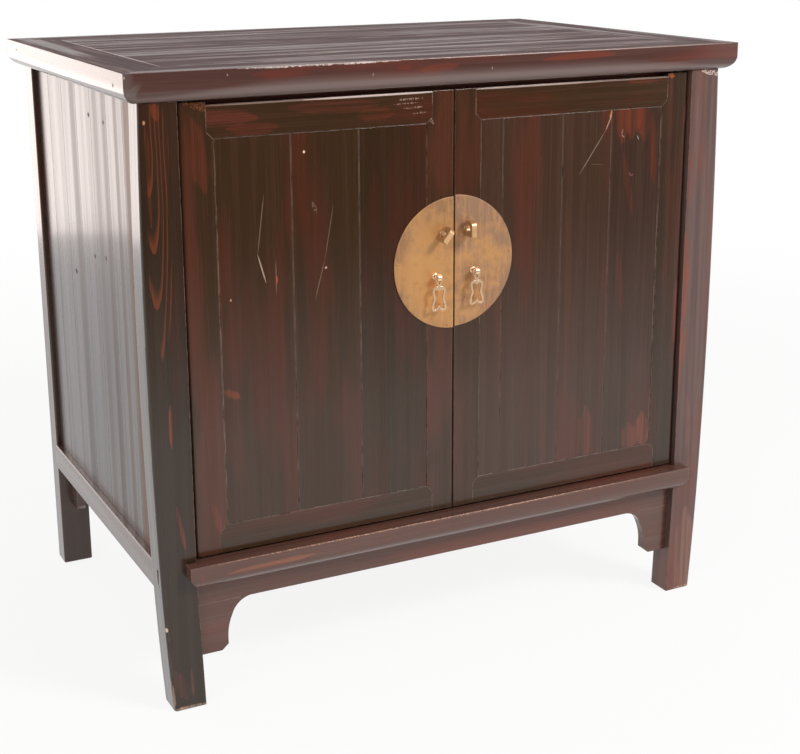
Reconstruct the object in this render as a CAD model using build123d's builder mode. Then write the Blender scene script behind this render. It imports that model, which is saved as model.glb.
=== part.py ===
# Two-door cabinet on four posts, in lacquered softwood with brass door furniture.
# Millimetres. X runs left to right, Y front to back and Z up from the floor. The origin is on the
# floor, under the middle of the cabinet. What comes in pairs is drawn on the left and mirrored.

import os

from build123d import *

os.makedirs("parts", exist_ok=True)

# ---- Driving dimensions ----

height = 900
top_length = 964
top_depth = 640
top_thickness = 40
top_rail_width = 70
top_edge_flat = 20  # upright part of the moulded edge, above the round
top_edge_undercut = 17  # the round runs this far in under the top
sill_lead = 5  # the sill's face stands in front of the top's edge

leg_setback = 19.5  # from the sill's face to the legs' face
leg_depth = 40
leg_inner_x = -409
foot_inner_x = -403
leg_head_x = -460.5  # outer face of a front leg under the top
leg_swell_x = -465.5  # and where it is widest
leg_swell_z = 540
leg_sill_x = -461
foot_outer_x = -450
rear_leg_outer_x = -457
rear_leg_back_y = 312

sill_top_z = 222
sill_height = 36
sill_flat = 19  # upright part of its face, above the round
sill_undercut = 15.5
sill_lap = 15  # the sill laps over the face of each leg
apron_height = 36
bracket_height = 77
bracket_reach = 82
apron_thickness = 14
apron_setback = 12
side_bracket_setback = 23  # from the outside of the side's bottom rail
side_bracket_height = 73
side_bracket_reach = 60

side_rail_height = 40
side_rail_thickness = 38
side_board_setback = 11
side_board_thickness = 12
side_board_count = 7
back_board_count = 7
back_board_thickness = 10
top_board_count = 5
top_batten_width = 34
groove = 8  # depth of the grooves that hold the boards
tongue = 7  # and how far a tongue runs into its groove
dovetail_depth = 4
dovetail_flare = 2
joint_gap = 0.4  # shrinkage between neighbouring boards

door_thickness = 22
door_setback = 5.5  # door faces behind the legs' faces
door_side_gap = 2.5
door_meeting_gap = 2
door_bottom_z = 226
door_top_z = 857
pivot_inset = 11
pivot_radius = 7
pivot_clearance = 0.05
pivot_stile_width = 47
meeting_stile_width = 43
door_top_rail_height = 45
door_bottom_rail_height = 41
door_rail_drop = 4  # top rail below the top of the pivot stile
frame_return = 9  # mitred return on the inner edges of stiles and rails
door_board_thickness = 14
door_board_setback = 0.5
door_batten_height = 30
left_door_joints = (-250, -149)
right_door_joints = (-269, -183, -81)

plate_radius = 97
plate_thickness = 2
plate_edge_gap = 1.2  # from the middle of the cabinet to the straight edge of a half plate
left_heights = (604.5, 649, 587.5)  # middle of the plate, lug and pull on the left door
right_heights = (606.5, 655, 590.5)  # and on the right door, where they sit a little higher
lug_x = -20
lug_turn = 39  # the left lug has turned this far in its hole
lug_width = 9
lug_height = 23
lug_depth = 22.5
lug_corner = 8
eye_radius = 6
eye_inset = 11.2  # from the lug's flat front to the middle of its eye
lug_shank_radius = 3.5
lug_collar_radius = 5.5
lug_washer_radius = 8
lug_peen_radius = 5
lug_clearance = 0.2  # between the collar and the plate
washer_y = (-275.2, -273.6)

pull_x = -31
pull_reach = 10.5  # from the plate's face to the pin that the pull swings on
pull_pin_radius = 1.3
pull_thickness = 2.8
yoke_inner_x = 4.1
yoke_outer_x = 6.4
head_radius = 5.2  # round head of the staple, bored for the pull's pin
head_width = 7.2
head_round = 1.8
staple_neck_radius = 2.2
staple_shank_radius = 2
staple_neck_inset = 3.2  # the neck ends this far behind the pull's pin, inside the head
rose_radius = 5.2
rose_height = 2
clench = (16, 1.6, 4.8)  # the staple's legs, bent over behind the door: width, thickness, height

# ---- Planes and faces worked out from them ----

front_y = -(top_depth + sill_lead) / 2
top_front_y = front_y + sill_lead
top_back_y = top_front_y + top_depth
top_end_x = -top_length / 2
top_under_z = height - top_thickness
panel_y = (top_front_y + top_rail_width, top_back_y - top_rail_width)
panel_end_x = top_end_x + top_rail_width

leg_front_y = front_y + leg_setback
leg_rear_y = leg_front_y + leg_depth
rear_leg_front_y = rear_leg_back_y - leg_depth

sill_under_z = sill_top_z - sill_height
sill_back_y = leg_rear_y + 8
sill_end_x = leg_inner_x - sill_lap
apron_front_y = leg_front_y + apron_setback
apron_back_y = apron_front_y + apron_thickness
apron_under_z = sill_under_z - apron_height

side_rail_outer_x = -459.5
side_rail_inner_x = side_rail_outer_x + side_rail_thickness
side_rail_top_z = 219
side_rail_under_z = side_rail_top_z - side_rail_height
side_board_outer_x = leg_head_x + side_board_setback
side_board_inner_x = side_board_outer_x + side_board_thickness
top_side_rail_inner_x = side_board_inner_x + 22

rear_rail_front_y = 284
rear_rail_back_y = 310
rear_rail_under_z = 182
rear_top_rail_under_z = 820
back_board_y = (rear_rail_front_y + 11, rear_rail_front_y + 11 + back_board_thickness)

lintel_y = (-272.5, -250)
lintel_under_z = 832
floor_z = (200, 214)
floor_tenon_x = (-14, 14)
floor_tenon_z = (188, 198)
shelf_z = (520, 534)
shelf_y = (-240, rear_leg_front_y)

door_front_y = leg_front_y + door_setback
door_back_y = door_front_y + door_thickness
door_edge_x = leg_inner_x + door_side_gap
door_meeting_x = -door_meeting_gap / 2
pivot_x = door_edge_x + pivot_inset
pivot_y = (door_front_y + door_back_y) / 2
stile_inner_x = door_edge_x + pivot_stile_width
meeting_inner_x = door_meeting_x - meeting_stile_width
plate_front_y = door_front_y - plate_thickness
lug_back_y = front_y + lug_depth
pull_y = plate_front_y - pull_reach

# ---- Tenons, each given once as spans in X, Y and Z, and used for the tenon and its mortise ----

corner_tenon = ((-465, -440), (top_front_y + 10, top_front_y + top_rail_width), (881, 895))
corner_tenon_back = ((-465, -440), (top_back_y - top_rail_width, top_back_y - 10), (881, 895))
top_groove_z = (880, 887)
leg_tenon_front = ((-432, -416), (-297, -283), (top_under_z, top_under_z + 12))
leg_tenon_end = ((-459, -450), (-277, -266), (top_under_z, top_under_z + 12))
rear_leg_tenon_back = ((-432, -416), (292, 304), (top_under_z, top_under_z + 12))
rear_leg_tenon_end = ((-456, -450), (276, 285), (top_under_z, top_under_z + 12))
lintel_tenon = ((-434, leg_inner_x), (-271.5, -265), (844, 856))
sill_tenon = ((-459.8, leg_inner_x), (-296, -286), (192, 216))
apron_tenon_y = (apron_front_y + 3, apron_back_y - 3)
apron_tenon = ((-414, leg_inner_x + 3), apron_tenon_y, (apron_under_z + 4, sill_under_z - 4))
bracket_tenon = ((-414, leg_inner_x + 5), apron_tenon_y, (84, 142))
side_rail_tenon_front = ((-452, -440), (leg_rear_y - 20, leg_rear_y), (186, 198))
side_rail_tenon_rear = ((-452, -440), (rear_leg_front_y, rear_leg_front_y + 20), (186, 198))
top_side_tenon_front = ((-432, -420), (leg_rear_y - 17, leg_rear_y), (828, 840))
top_side_tenon_rear = ((-432, -420), (rear_leg_front_y, rear_leg_front_y + 17), (828, 840))
shelf_tenon_front = ((-432, -420), (leg_rear_y - 14, leg_rear_y), (502, 516))
shelf_tenon_rear = ((-432, -420), (rear_leg_front_y, rear_leg_front_y + 14), (502, 516))
rear_top_tenon = ((-434, leg_inner_x), (290, 302), (844, 856))
rear_bottom_tenon = ((-434, leg_inner_x), (290, 302), (204, 212))
side_board_groove = (side_board_outer_x, side_board_inner_x)
side_board_z = (side_rail_top_z - groove, top_under_z + 6)
back_board_z = (sill_top_z - groove, rear_top_rail_under_z + groove)


def stock(x, y, z, mode=Mode.ADD):
    """Squared stock that fills a span in X, Y and Z."""
    with BuildSketch(Plane.XY.offset(min(z))) as section:
        with Locations(((x[0] + x[1]) / 2, (y[0] + y[1]) / 2)):
            Rectangle(abs(x[1] - x[0]), abs(y[1] - y[0]))
    extrude(section.sketch, amount=abs(z[1] - z[0]), mode=mode)


def cut(x, y, z):
    """A mortise, groove or notch over a span in X, Y and Z."""
    stock(x, y, z, mode=Mode.SUBTRACT)


def save(piece, name):
    piece.part.label = name
    export_step(piece.part, f"parts/{name}.step")


def mirrored(piece):
    """The right-hand twin of a left-hand piece."""
    with BuildPart() as twin:
        mirror(piece.part, about=Plane.YZ)
    return twin


def save_pair(piece, left_name, right_name):
    save(piece, left_name)
    save(mirrored(piece), right_name)


# ---- Top: mitred frame with a moulded edge, boards and battens ----


def moulded_edge(plane, outer, inward):
    """Section of a frame rail: upright edge above, rounded under below."""
    with BuildSketch(plane) as section:
        with BuildLine():
            top_edge = Line((outer + inward * top_rail_width, height), (outer, height))
            flat = Line(top_edge @ 1, (outer, height - top_edge_flat))
            under = TangentArc(flat @ 1, (outer + inward * top_edge_undercut, top_under_z), tangent=flat % 1)
            bottom = Line(under @ 1, (outer + inward * top_rail_width, top_under_z))
            Line(bottom @ 1, top_edge @ 0)
        make_face()
    return section.sketch


def mitre(corner, direction, keep):
    """Saws the corner off along a 45 degree upright plane."""
    saw = Plane(origin=(corner[0], corner[1], height), x_dir=(0, 0, 1), z_dir=direction)
    split(bisect_by=saw, keep=keep)


with BuildPart() as top_front_rail:
    extrude(moulded_edge(Plane.YZ.offset(top_end_x), top_front_y, 1), amount=top_length / 2)
    mitre((top_end_x, top_front_y), (1, -1, 0), Keep.TOP)
    cut(*corner_tenon)
    cut(*leg_tenon_front)
    cut((top_end_x, 0), (panel_y[0] - tongue, panel_y[0]), top_groove_z)
    with Locations(Plane(origin=(pivot_x, pivot_y, top_under_z), z_dir=(0, 0, -1))):
        Hole(radius=pivot_radius + pivot_clearance, depth=15)
    mirror(about=Plane.YZ)

with BuildPart() as top_back_rail:
    extrude(moulded_edge(Plane.YZ.offset(top_end_x), top_back_y, -1), amount=top_length / 2)
    mitre((top_end_x, top_back_y), (1, 1, 0), Keep.TOP)
    cut(*corner_tenon_back)
    cut(*rear_leg_tenon_back)
    cut(side_board_groove, (rear_leg_front_y, rear_leg_front_y + groove), (top_under_z, side_board_z[1]))
    cut((top_end_x, 0), (panel_y[1], panel_y[1] + tongue), top_groove_z)
    mirror(about=Plane.YZ)

with BuildPart() as top_end_rail:
    extrude(moulded_edge(Plane.XZ.offset(-top_front_y), top_end_x, 1), amount=-top_depth)
    mitre((top_end_x, top_front_y), (-1, 1, 0), Keep.TOP)
    mitre((top_end_x, top_back_y), (-1, -1, 0), Keep.TOP)
    stock(*corner_tenon)
    stock(*corner_tenon_back)
    cut(*leg_tenon_end)
    cut(*rear_leg_tenon_end)
    cut((panel_end_x - tongue, panel_end_x), panel_y, top_groove_z)
    cut(side_board_groove, (leg_rear_y - groove, rear_leg_front_y + groove), (top_under_z, side_board_z[1]))

save(top_front_rail, "top_front_rail")
save(top_back_rail, "top_back_rail")
save_pair(top_end_rail, "top_left_rail", "top_right_rail")

board_pitch = (panel_y[1] - panel_y[0]) / top_board_count
batten_places = (-250, 0, 250)
batten_z = (862, top_groove_z[0])


def dovetail(plane, across, foot, length, width, mode=Mode.ADD):
    """A batten's dovetail, wider where it grips the boards, drawn across and up on a plane."""
    with BuildSketch(plane) as section:
        with BuildLine():
            Polyline(
                (across - width / 2, foot),
                (across + width / 2, foot),
                (across + width / 2 + dovetail_flare, foot + dovetail_depth),
                (across - width / 2 - dovetail_flare, foot + dovetail_depth),
                close=True,
            )
        make_face()
    extrude(section.sketch, amount=length, mode=mode)



def top_batten_dovetails(mode):
    front = Plane.XZ.offset(-panel_y[0])
    for batten_x in batten_places:
        dovetail(front, batten_x, batten_z[1], panel_y[0] - panel_y[1], top_batten_width, mode)


with BuildPart() as top_battens:
    for batten_x in batten_places:
        stock((batten_x - top_batten_width / 2, batten_x + top_batten_width / 2), panel_y, batten_z)
    top_batten_dovetails(Mode.ADD)

with BuildPart() as top_boards:
    for number in range(top_board_count):
        near = panel_y[0] + number * board_pitch
        stock((panel_end_x, -panel_end_x), (near, near + board_pitch - joint_gap), (top_groove_z[0], height))
    chamfer(top_boards.edges().filter_by(Axis.X).group_by(Axis.Z)[-1], length=0.8)
    for number in range(top_board_count):
        near = panel_y[0] + number * board_pitch
        far = near + board_pitch - joint_gap
        stock((panel_end_x - tongue, tongue - panel_end_x), (near, far), top_groove_z)
    stock((panel_end_x, -panel_end_x), (panel_y[0] - tongue, panel_y[0]), top_groove_z)
    stock((panel_end_x, -panel_end_x), (panel_y[1] - joint_gap, panel_y[1] + tongue), top_groove_z)
    top_batten_dovetails(Mode.SUBTRACT)

save(top_battens, "top_battens")
save(top_boards, "top_boards")

# ---- Posts ----


def front_leg_outline():
    """Face of the left front leg: a slow swell outside, both sides drawing in to the foot."""
    with BuildSketch(Plane.XZ.offset(-leg_front_y)) as outline:
        with BuildLine():
            swell = ThreePointArc(
                (leg_head_x, top_under_z),
                (leg_swell_x, leg_swell_z),
                (leg_sill_x, side_rail_top_z),
            )
            taper = TangentArc(swell @ 1, (foot_outer_x, 0), tangent=swell % 1)
            Polyline(
                taper @ 1,
                (foot_inner_x, 0),
                (leg_inner_x, sill_under_z),
                (leg_inner_x, top_under_z),
                swell @ 0,
            )
        make_face()
    return outline.sketch


with BuildPart() as front_leg:
    extrude(front_leg_outline(), amount=-leg_depth)
    fillet(front_leg.faces().sort_by(Axis.Y)[0].edges().sort_by(Axis.X)[:2], radius=5)
    chamfer(front_leg.faces().sort_by(Axis.Z)[0].edges(), length=1.5)
    stock(*leg_tenon_front)
    stock(*leg_tenon_end)
    cut(*lintel_tenon)
    cut((-470, leg_inner_x), sill_tenon[1], sill_tenon[2])
    cut((-414, leg_inner_x + 6), apron_tenon[1], (bracket_tenon[2][0], apron_tenon[2][1]))
    cut(*side_rail_tenon_front)
    cut(*top_side_tenon_front)
    cut(*shelf_tenon_front)
    cut(side_board_groove, (leg_rear_y - groove, leg_rear_y), (side_board_z[0], top_under_z))

with BuildPart() as rear_leg:
    with BuildSketch(Plane.XY):
        with Locations(((rear_leg_outer_x + leg_inner_x) / 2, (rear_leg_front_y + rear_leg_back_y) / 2)):
            Rectangle(leg_inner_x - rear_leg_outer_x, leg_depth)
    extrude(amount=top_under_z)
    fillet(rear_leg.edges().filter_by(Axis.Z).sort_by(Axis.X)[:2], radius=3)
    chamfer(rear_leg.faces().sort_by(Axis.Z)[0].edges(), length=1.5)
    stock(*rear_leg_tenon_back)
    stock(*rear_leg_tenon_end)
    cut(*rear_top_tenon)
    cut(*rear_bottom_tenon)
    cut(*side_rail_tenon_rear)
    cut(*top_side_tenon_rear)
    cut(*shelf_tenon_rear)
    cut(side_board_groove, (rear_leg_front_y, rear_leg_front_y + groove), (side_board_z[0], top_under_z))
    cut((leg_inner_x - groove, leg_inner_x), back_board_y, back_board_z)

save_pair(front_leg, "front_left_leg", "front_right_leg")
save_pair(rear_leg, "rear_left_leg", "rear_right_leg")

# ---- Sill, lintel and the other rails ----

with BuildPart() as sill:
    with BuildSketch(Plane.YZ.offset(sill_end_x)):
        with BuildLine():
            face = Line((front_y, sill_top_z), (front_y, sill_top_z - sill_flat))
            round_under = ThreePointArc(
                face @ 1,
                (front_y + sill_undercut * 0.38, sill_under_z + (sill_height - sill_flat) * 0.32),
                (front_y + sill_undercut, sill_under_z),
            )
            Polyline(round_under @ 1, (sill_back_y, sill_under_z), (sill_back_y, sill_top_z), face @ 0)
        make_face()
    extrude(amount=-sill_end_x)
    with BuildSketch(Plane.XZ.offset(-front_y)):
        with BuildLine():
            Polyline(
                (sill_end_x, sill_under_z),
                (sill_end_x, sill_top_z - sill_flat),
                (sill_end_x + sill_undercut * 0.85, sill_under_z),
                close=True,
            )
        make_face()
    extrude(amount=-leg_setback, mode=Mode.SUBTRACT)
    cut((sill_end_x, leg_inner_x), (leg_front_y, sill_back_y), (sill_under_z, sill_top_z))
    chamfer(sill.faces().sort_by(Axis.Y)[0].edges().sort_by(Axis.Z)[-1], length=1)
    stock(*sill_tenon)
    with Locations(Plane(origin=(pivot_x, pivot_y, sill_top_z))):
        Hole(radius=pivot_radius + pivot_clearance, depth=14)
    cut((leg_inner_x, 0), (sill_back_y - groove, sill_back_y), floor_z)
    cut((floor_tenon_x[0], 0), (sill_back_y - 18, sill_back_y), floor_tenon_z)
    mirror(about=Plane.YZ)

with BuildPart() as lintel:
    stock((leg_inner_x, 0), lintel_y, (lintel_under_z, top_under_z))
    stock(*lintel_tenon)
    mirror(about=Plane.YZ)

with BuildPart() as rear_top_rail:
    stock((leg_inner_x, 0), (rear_rail_front_y, rear_rail_back_y), (rear_top_rail_under_z, top_under_z))
    stock(*rear_top_tenon)
    cut((leg_inner_x, 0), back_board_y, (rear_top_rail_under_z, back_board_z[1]))
    mirror(about=Plane.YZ)

with BuildPart() as rear_bottom_rail:
    stock((leg_inner_x, 0), (rear_rail_front_y, rear_rail_back_y), (rear_rail_under_z, sill_top_z))
    stock(*rear_bottom_tenon)
    cut((leg_inner_x, 0), back_board_y, (back_board_z[0], sill_top_z))
    cut((leg_inner_x, 0), (rear_rail_front_y, rear_rail_front_y + groove), floor_z)
    cut((floor_tenon_x[0], 0), (rear_rail_front_y, rear_rail_front_y + 14), floor_tenon_z)
    mirror(about=Plane.YZ)

side_y = (leg_rear_y, rear_leg_front_y)

with BuildPart() as side_bottom_rail:
    stock((side_rail_outer_x, side_rail_inner_x), side_y, (side_rail_under_z, side_rail_top_z))
    chamfer(side_bottom_rail.edges().filter_by(Axis.Y).group_by(Axis.X)[0], length=1.5)
    stock(*side_rail_tenon_front)
    stock(*side_rail_tenon_rear)
    cut(side_board_groove, side_y, (side_board_z[0], side_rail_top_z))
    cut((side_rail_inner_x - groove, side_rail_inner_x), side_y, floor_z)

with BuildPart() as side_top_rail:
    stock((side_board_inner_x, top_side_rail_inner_x), side_y, (826, top_under_z))
    stock(*top_side_tenon_front)
    stock(*top_side_tenon_rear)

save(sill, "sill")
save(lintel, "lintel")
save(rear_top_rail, "rear_top_rail")
save(rear_bottom_rail, "rear_bottom_rail")
save_pair(side_bottom_rail, "left_bottom_rail", "right_bottom_rail")
save_pair(side_top_rail, "left_top_rail", "right_top_rail")

# ---- Side, back, floor and shelf boards ----

with BuildPart() as side_boards:
    side_pitch = (rear_leg_front_y - leg_rear_y + 2 * groove) / side_board_count
    for number in range(side_board_count):
        near = leg_rear_y - groove + number * side_pitch
        stock(side_board_groove, (near, near + side_pitch - joint_gap), side_board_z)

with BuildPart() as back_boards:
    back_pitch = 2 * (groove - leg_inner_x) / back_board_count
    for number in range(back_board_count):
        near = leg_inner_x - groove + number * back_pitch
        stock((near, near + back_pitch - joint_gap), back_board_y, back_board_z)
    chamfer(back_boards.edges().filter_by(Axis.Z).group_by(Axis.Y)[-1], length=1.2)

with BuildPart() as floor_boards:
    floor_end_x = side_rail_inner_x - groove
    floor_y = (sill_back_y - groove, rear_rail_front_y + groove)
    floor_pitch = (floor_y[1] - floor_y[0]) / 4
    for number in range(4):
        near = floor_y[0] + number * floor_pitch
        stock((floor_end_x, -floor_end_x), (near, near + floor_pitch - joint_gap), floor_z)
    cut((floor_end_x, leg_inner_x), (rear_leg_front_y, floor_y[1]), floor_z)
    cut((-leg_inner_x, -floor_end_x), (rear_leg_front_y, floor_y[1]), floor_z)

with BuildPart() as floor_bearer:
    stock((-20, 20), (sill_back_y, rear_rail_front_y), (178, floor_z[0]))
    stock(floor_tenon_x, (sill_back_y - 18, rear_rail_front_y + 14), floor_tenon_z)

with BuildPart() as shelf_boards:
    shelf_end_x = side_board_inner_x + 1
    shelf_pitch = (shelf_y[1] - shelf_y[0]) / 3
    for number in range(3):
        near = shelf_y[0] + number * shelf_pitch
        stock((shelf_end_x, -shelf_end_x), (near, near + shelf_pitch - joint_gap), shelf_z)

with BuildPart() as shelf_bearer:
    stock((side_board_inner_x, top_side_rail_inner_x), side_y, (498, shelf_z[0]))
    stock(*shelf_tenon_front)
    stock(*shelf_tenon_rear)

save_pair(side_boards, "left_side_boards", "right_side_boards")
save(back_boards, "back_boards")
save(floor_boards, "floor_boards")
save(floor_bearer, "floor_bearer")
save(shelf_boards, "shelf_boards")
save_pair(shelf_bearer, "left_shelf_bearer", "right_shelf_bearer")

# ---- Apron and brackets ----


def leg_inner_at(z):
    """Inner face of a front leg at a height under the sill, where it draws in to the foot."""
    return leg_inner_x + (foot_inner_x - leg_inner_x) * (sill_under_z - z) / sill_under_z


def bracket_outline(plane, head, foot, reach):
    """Spandrel bracket: two hollow curves that meet in a cusp, and a clipped toe.

    head and foot are its corners against the leg, on the plane; reach is signed, away from the leg."""
    drop = head[1] - foot[1]
    along = reach / bracket_reach
    cusp = (head[0] + along * 53.5, head[1] - 0.3 * drop)
    toe = (head[0] + along * 46, head[1] - 0.76 * drop)
    with BuildSketch(plane) as outline:
        with BuildLine():
            edge = Line(head, (head[0] + reach, head[1]))
            ThreePointArc(edge @ 1, (head[0] + along * 64, head[1] - 0.1 * drop), cusp)
            ThreePointArc(cusp, (head[0] + along * 47.8, head[1] - 0.52 * drop), toe)
            Polyline(
                toe,
                (head[0] + along * 46, head[1] - 0.89 * drop),
                (head[0] + along * 36, foot[1]),
                foot,
                head,
            )
        make_face()
    return outline.sketch


with BuildPart() as front_apron:
    with BuildSketch(Plane.XZ.offset(-apron_front_y)):
        with BuildLine():
            Polyline(
                (leg_inner_x, sill_under_z),
                (-leg_inner_x, sill_under_z),
                (-leg_inner_at(apron_under_z), apron_under_z),
                (leg_inner_at(apron_under_z), apron_under_z),
                close=True,
            )
        make_face()
    extrude(amount=-apron_thickness)
    stock(*apron_tenon)
    stock((-apron_tenon[0][1], -apron_tenon[0][0]), apron_tenon[1], apron_tenon[2])

with BuildPart() as front_bracket:
    bracket_foot_z = apron_under_z - bracket_height
    bracket_head = (leg_inner_at(apron_under_z), apron_under_z)
    bracket_foot = (leg_inner_at(bracket_foot_z), bracket_foot_z)
    bracket_face = Plane.XZ.offset(-apron_front_y)
    extrude(bracket_outline(bracket_face, bracket_head, bracket_foot, bracket_reach), amount=-apron_thickness)
    stock(*bracket_tenon)

side_bracket_plane = Plane.YZ.offset(side_rail_outer_x + side_bracket_setback)
side_bracket_foot_z = side_rail_under_z - side_bracket_height

with BuildPart() as side_front_bracket:
    head, foot = (leg_rear_y, side_rail_under_z), (leg_rear_y, side_bracket_foot_z)
    extrude(bracket_outline(side_bracket_plane, head, foot, side_bracket_reach), amount=apron_thickness)

with BuildPart() as side_rear_bracket:
    head, foot = (rear_leg_front_y, side_rail_under_z), (rear_leg_front_y, side_bracket_foot_z)
    extrude(bracket_outline(side_bracket_plane, head, foot, -side_bracket_reach), amount=apron_thickness)

save(front_apron, "front_apron")
save_pair(front_bracket, "front_left_bracket", "front_right_bracket")
save_pair(side_front_bracket, "left_front_bracket", "right_front_bracket")
save_pair(side_rear_bracket, "left_rear_bracket", "right_rear_bracket")

# ---- Doors ----

door_y = (door_front_y, door_back_y)
rail_top_z = (door_top_z - door_rail_drop - door_top_rail_height, door_top_z - door_rail_drop)
rail_bottom_z = (door_bottom_z, door_bottom_z + door_bottom_rail_height)
pin_length = (13, 17)  # pivot pins below and above the stile
panel_tongue_y = (-291, -285)
panel_tongue_x = (stile_inner_x - tongue, meeting_inner_x + tongue)
panel_tongue_z = (rail_bottom_z[1] - tongue, rail_top_z[0] + tongue)
panel_groove_z = (panel_tongue_z[0] - 2, panel_tongue_z[1] + 2)  # in the stiles
rail_tenon_y = (-290.5, -282.5)
top_tenon_z = (rail_top_z[0] + 6, rail_top_z[1] - 6)
bottom_tenon_z = (rail_bottom_z[0] + 6, rail_bottom_z[1] - 6)
pivot_tenon_x = (door_edge_x + 8.5, stile_inner_x)
meeting_tenon_x = (meeting_inner_x, door_meeting_x - 7)
batten_heights = (400, 680)
door_board_y = (door_front_y + door_board_setback, door_front_y + door_board_setback + door_board_thickness)
door_batten_y = (door_board_y[1], door_back_y)


def door_rail_outline(outer_z, inner_z):
    """Face of a door rail: square ends, mitred returns at the corners next to the boards."""
    inward = frame_return if inner_z > outer_z else -frame_return
    with BuildSketch(Plane.XZ.offset(-door_front_y)) as outline:
        with BuildLine():
            Polyline(
                (stile_inner_x - frame_return, outer_z),
                (meeting_inner_x + frame_return, outer_z),
                (meeting_inner_x + frame_return, inner_z - inward),
                (meeting_inner_x, inner_z),
                (stile_inner_x, inner_z),
                (stile_inner_x - frame_return, inner_z - inward),
                close=True,
            )
        make_face()
    return outline.sketch


def clear_rails():
    """Cuts a stile back to the shoulders of both rails, and its mortises."""
    extrude(door_rail_outline(door_top_z, rail_top_z[0]), amount=-door_thickness, mode=Mode.SUBTRACT)
    extrude(door_rail_outline(rail_bottom_z[0], rail_bottom_z[1]), amount=-door_thickness, mode=Mode.SUBTRACT)
    for tenon_z in (top_tenon_z, bottom_tenon_z):
        cut(pivot_tenon_x, rail_tenon_y, tenon_z)
        cut(meeting_tenon_x, rail_tenon_y, tenon_z)


def batten_tenons():
    for batten_height in batten_heights:
        tenon_z = (batten_height - door_batten_height / 2 + 3, batten_height + door_batten_height / 2 - 3)
        yield (stile_inner_x - 8, meeting_inner_x + 8), (door_batten_y[0] + 1, door_batten_y[1] - 1.5), tenon_z


def door_batten_dovetails(mode):
    side = Plane(origin=(stile_inner_x, 0, 0), x_dir=(0, 0, 1), z_dir=(1, 0, 0))
    for batten_height in batten_heights:
        length = meeting_inner_x - stile_inner_x
        dovetail(side, batten_height, -door_batten_y[0], length, door_batten_height, mode)


with BuildPart() as pivot_stile:
    stock((door_edge_x, stile_inner_x), door_y, (door_bottom_z, door_top_z))
    fillet(pivot_stile.edges().filter_by(Axis.Z).sort_by(Axis.X)[:2], radius=6)
    clear_rails()
    cut((stile_inner_x - tongue, stile_inner_x), panel_tongue_y, panel_groove_z)
    for batten_tenon in batten_tenons():
        cut(*batten_tenon)
    for pin_z in ((door_bottom_z - pin_length[0], door_bottom_z), (door_top_z, door_top_z + pin_length[1])):
        with BuildSketch(Plane.XY.offset(pin_z[0])):
            with Locations((pivot_x, pivot_y)):
                Circle(pivot_radius)
        extrude(amount=pin_z[1] - pin_z[0])


def meeting_stile(heights):
    """Stile at the middle of the cabinet, as high as the top rail, bored for the lug and the staple."""
    with BuildPart() as stile:
        stock((meeting_inner_x, door_meeting_x), door_y, (door_bottom_z, rail_top_z[1]))
        chamfer(stile.edges().filter_by(Axis.Z).sort_by(Axis.X)[-2:], length=0.8)
        clear_rails()
        cut((meeting_inner_x, meeting_inner_x + tongue), panel_tongue_y, panel_groove_z)
        for batten_tenon in batten_tenons():
            cut(*batten_tenon)
        with Locations(Plane(origin=(lug_x, door_front_y, heights[1]), z_dir=(0, -1, 0))):
            Hole(radius=lug_shank_radius + pivot_clearance)
        with Locations(Plane(origin=(pull_x, door_front_y, heights[2]), z_dir=(0, -1, 0))):
            Hole(radius=staple_shank_radius)
    return stile


with BuildPart() as door_top_rail:
    extrude(door_rail_outline(rail_top_z[1], rail_top_z[0]), amount=-door_thickness)
    stock((pivot_tenon_x[0], meeting_tenon_x[1]), rail_tenon_y, top_tenon_z)
    cut(panel_tongue_x, panel_tongue_y, (rail_top_z[0], rail_top_z[0] + tongue))

with BuildPart() as door_bottom_rail:
    extrude(door_rail_outline(rail_bottom_z[0], rail_bottom_z[1]), amount=-door_thickness)
    stock((pivot_tenon_x[0], meeting_tenon_x[1]), rail_tenon_y, bottom_tenon_z)
    cut(panel_tongue_x, panel_tongue_y, (rail_bottom_z[1] - tongue, rail_bottom_z[1]))


def door_boards(joints):
    """Upright boards that fill a door's frame; joints are the places of the seams."""
    edges = (stile_inner_x, *joints, meeting_inner_x)
    with BuildPart() as boards:
        for near, far in zip(edges, edges[1:]):
            gap = 0 if far == meeting_inner_x else joint_gap
            stock((near, far - gap), door_board_y, (rail_bottom_z[1], rail_top_z[0]))
        chamfer(boards.edges().filter_by(Axis.Z).group_by(Axis.Y)[0], length=0.7)
        for near, far in zip(edges, edges[1:]):
            tongue_near = near - tongue if near == stile_inner_x else near
            tongue_far = far + tongue if far == meeting_inner_x else far - joint_gap
            stock((tongue_near, tongue_far), panel_tongue_y, panel_tongue_z)
        door_batten_dovetails(Mode.SUBTRACT)
    return boards


with BuildPart() as door_battens:
    for batten_height in batten_heights:
        batten_span_z = (batten_height - door_batten_height / 2, batten_height + door_batten_height / 2)
        stock((stile_inner_x, meeting_inner_x), door_batten_y, batten_span_z)
    door_batten_dovetails(Mode.ADD)
    for batten_tenon in batten_tenons():
        stock(*batten_tenon)

save_pair(pivot_stile, "left_pivot_stile", "right_pivot_stile")
save(meeting_stile(left_heights), "left_meeting_stile")
save(mirrored(meeting_stile(right_heights)), "right_meeting_stile")
save_pair(door_top_rail, "left_door_top_rail", "right_door_top_rail")
save_pair(door_bottom_rail, "left_door_bottom_rail", "right_door_bottom_rail")
save_pair(door_battens, "left_door_battens", "right_door_battens")
save(door_boards(left_door_joints), "left_door_boards")
save(mirrored(door_boards(right_door_joints)), "right_door_boards")

# ---- Door furniture ----


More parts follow.
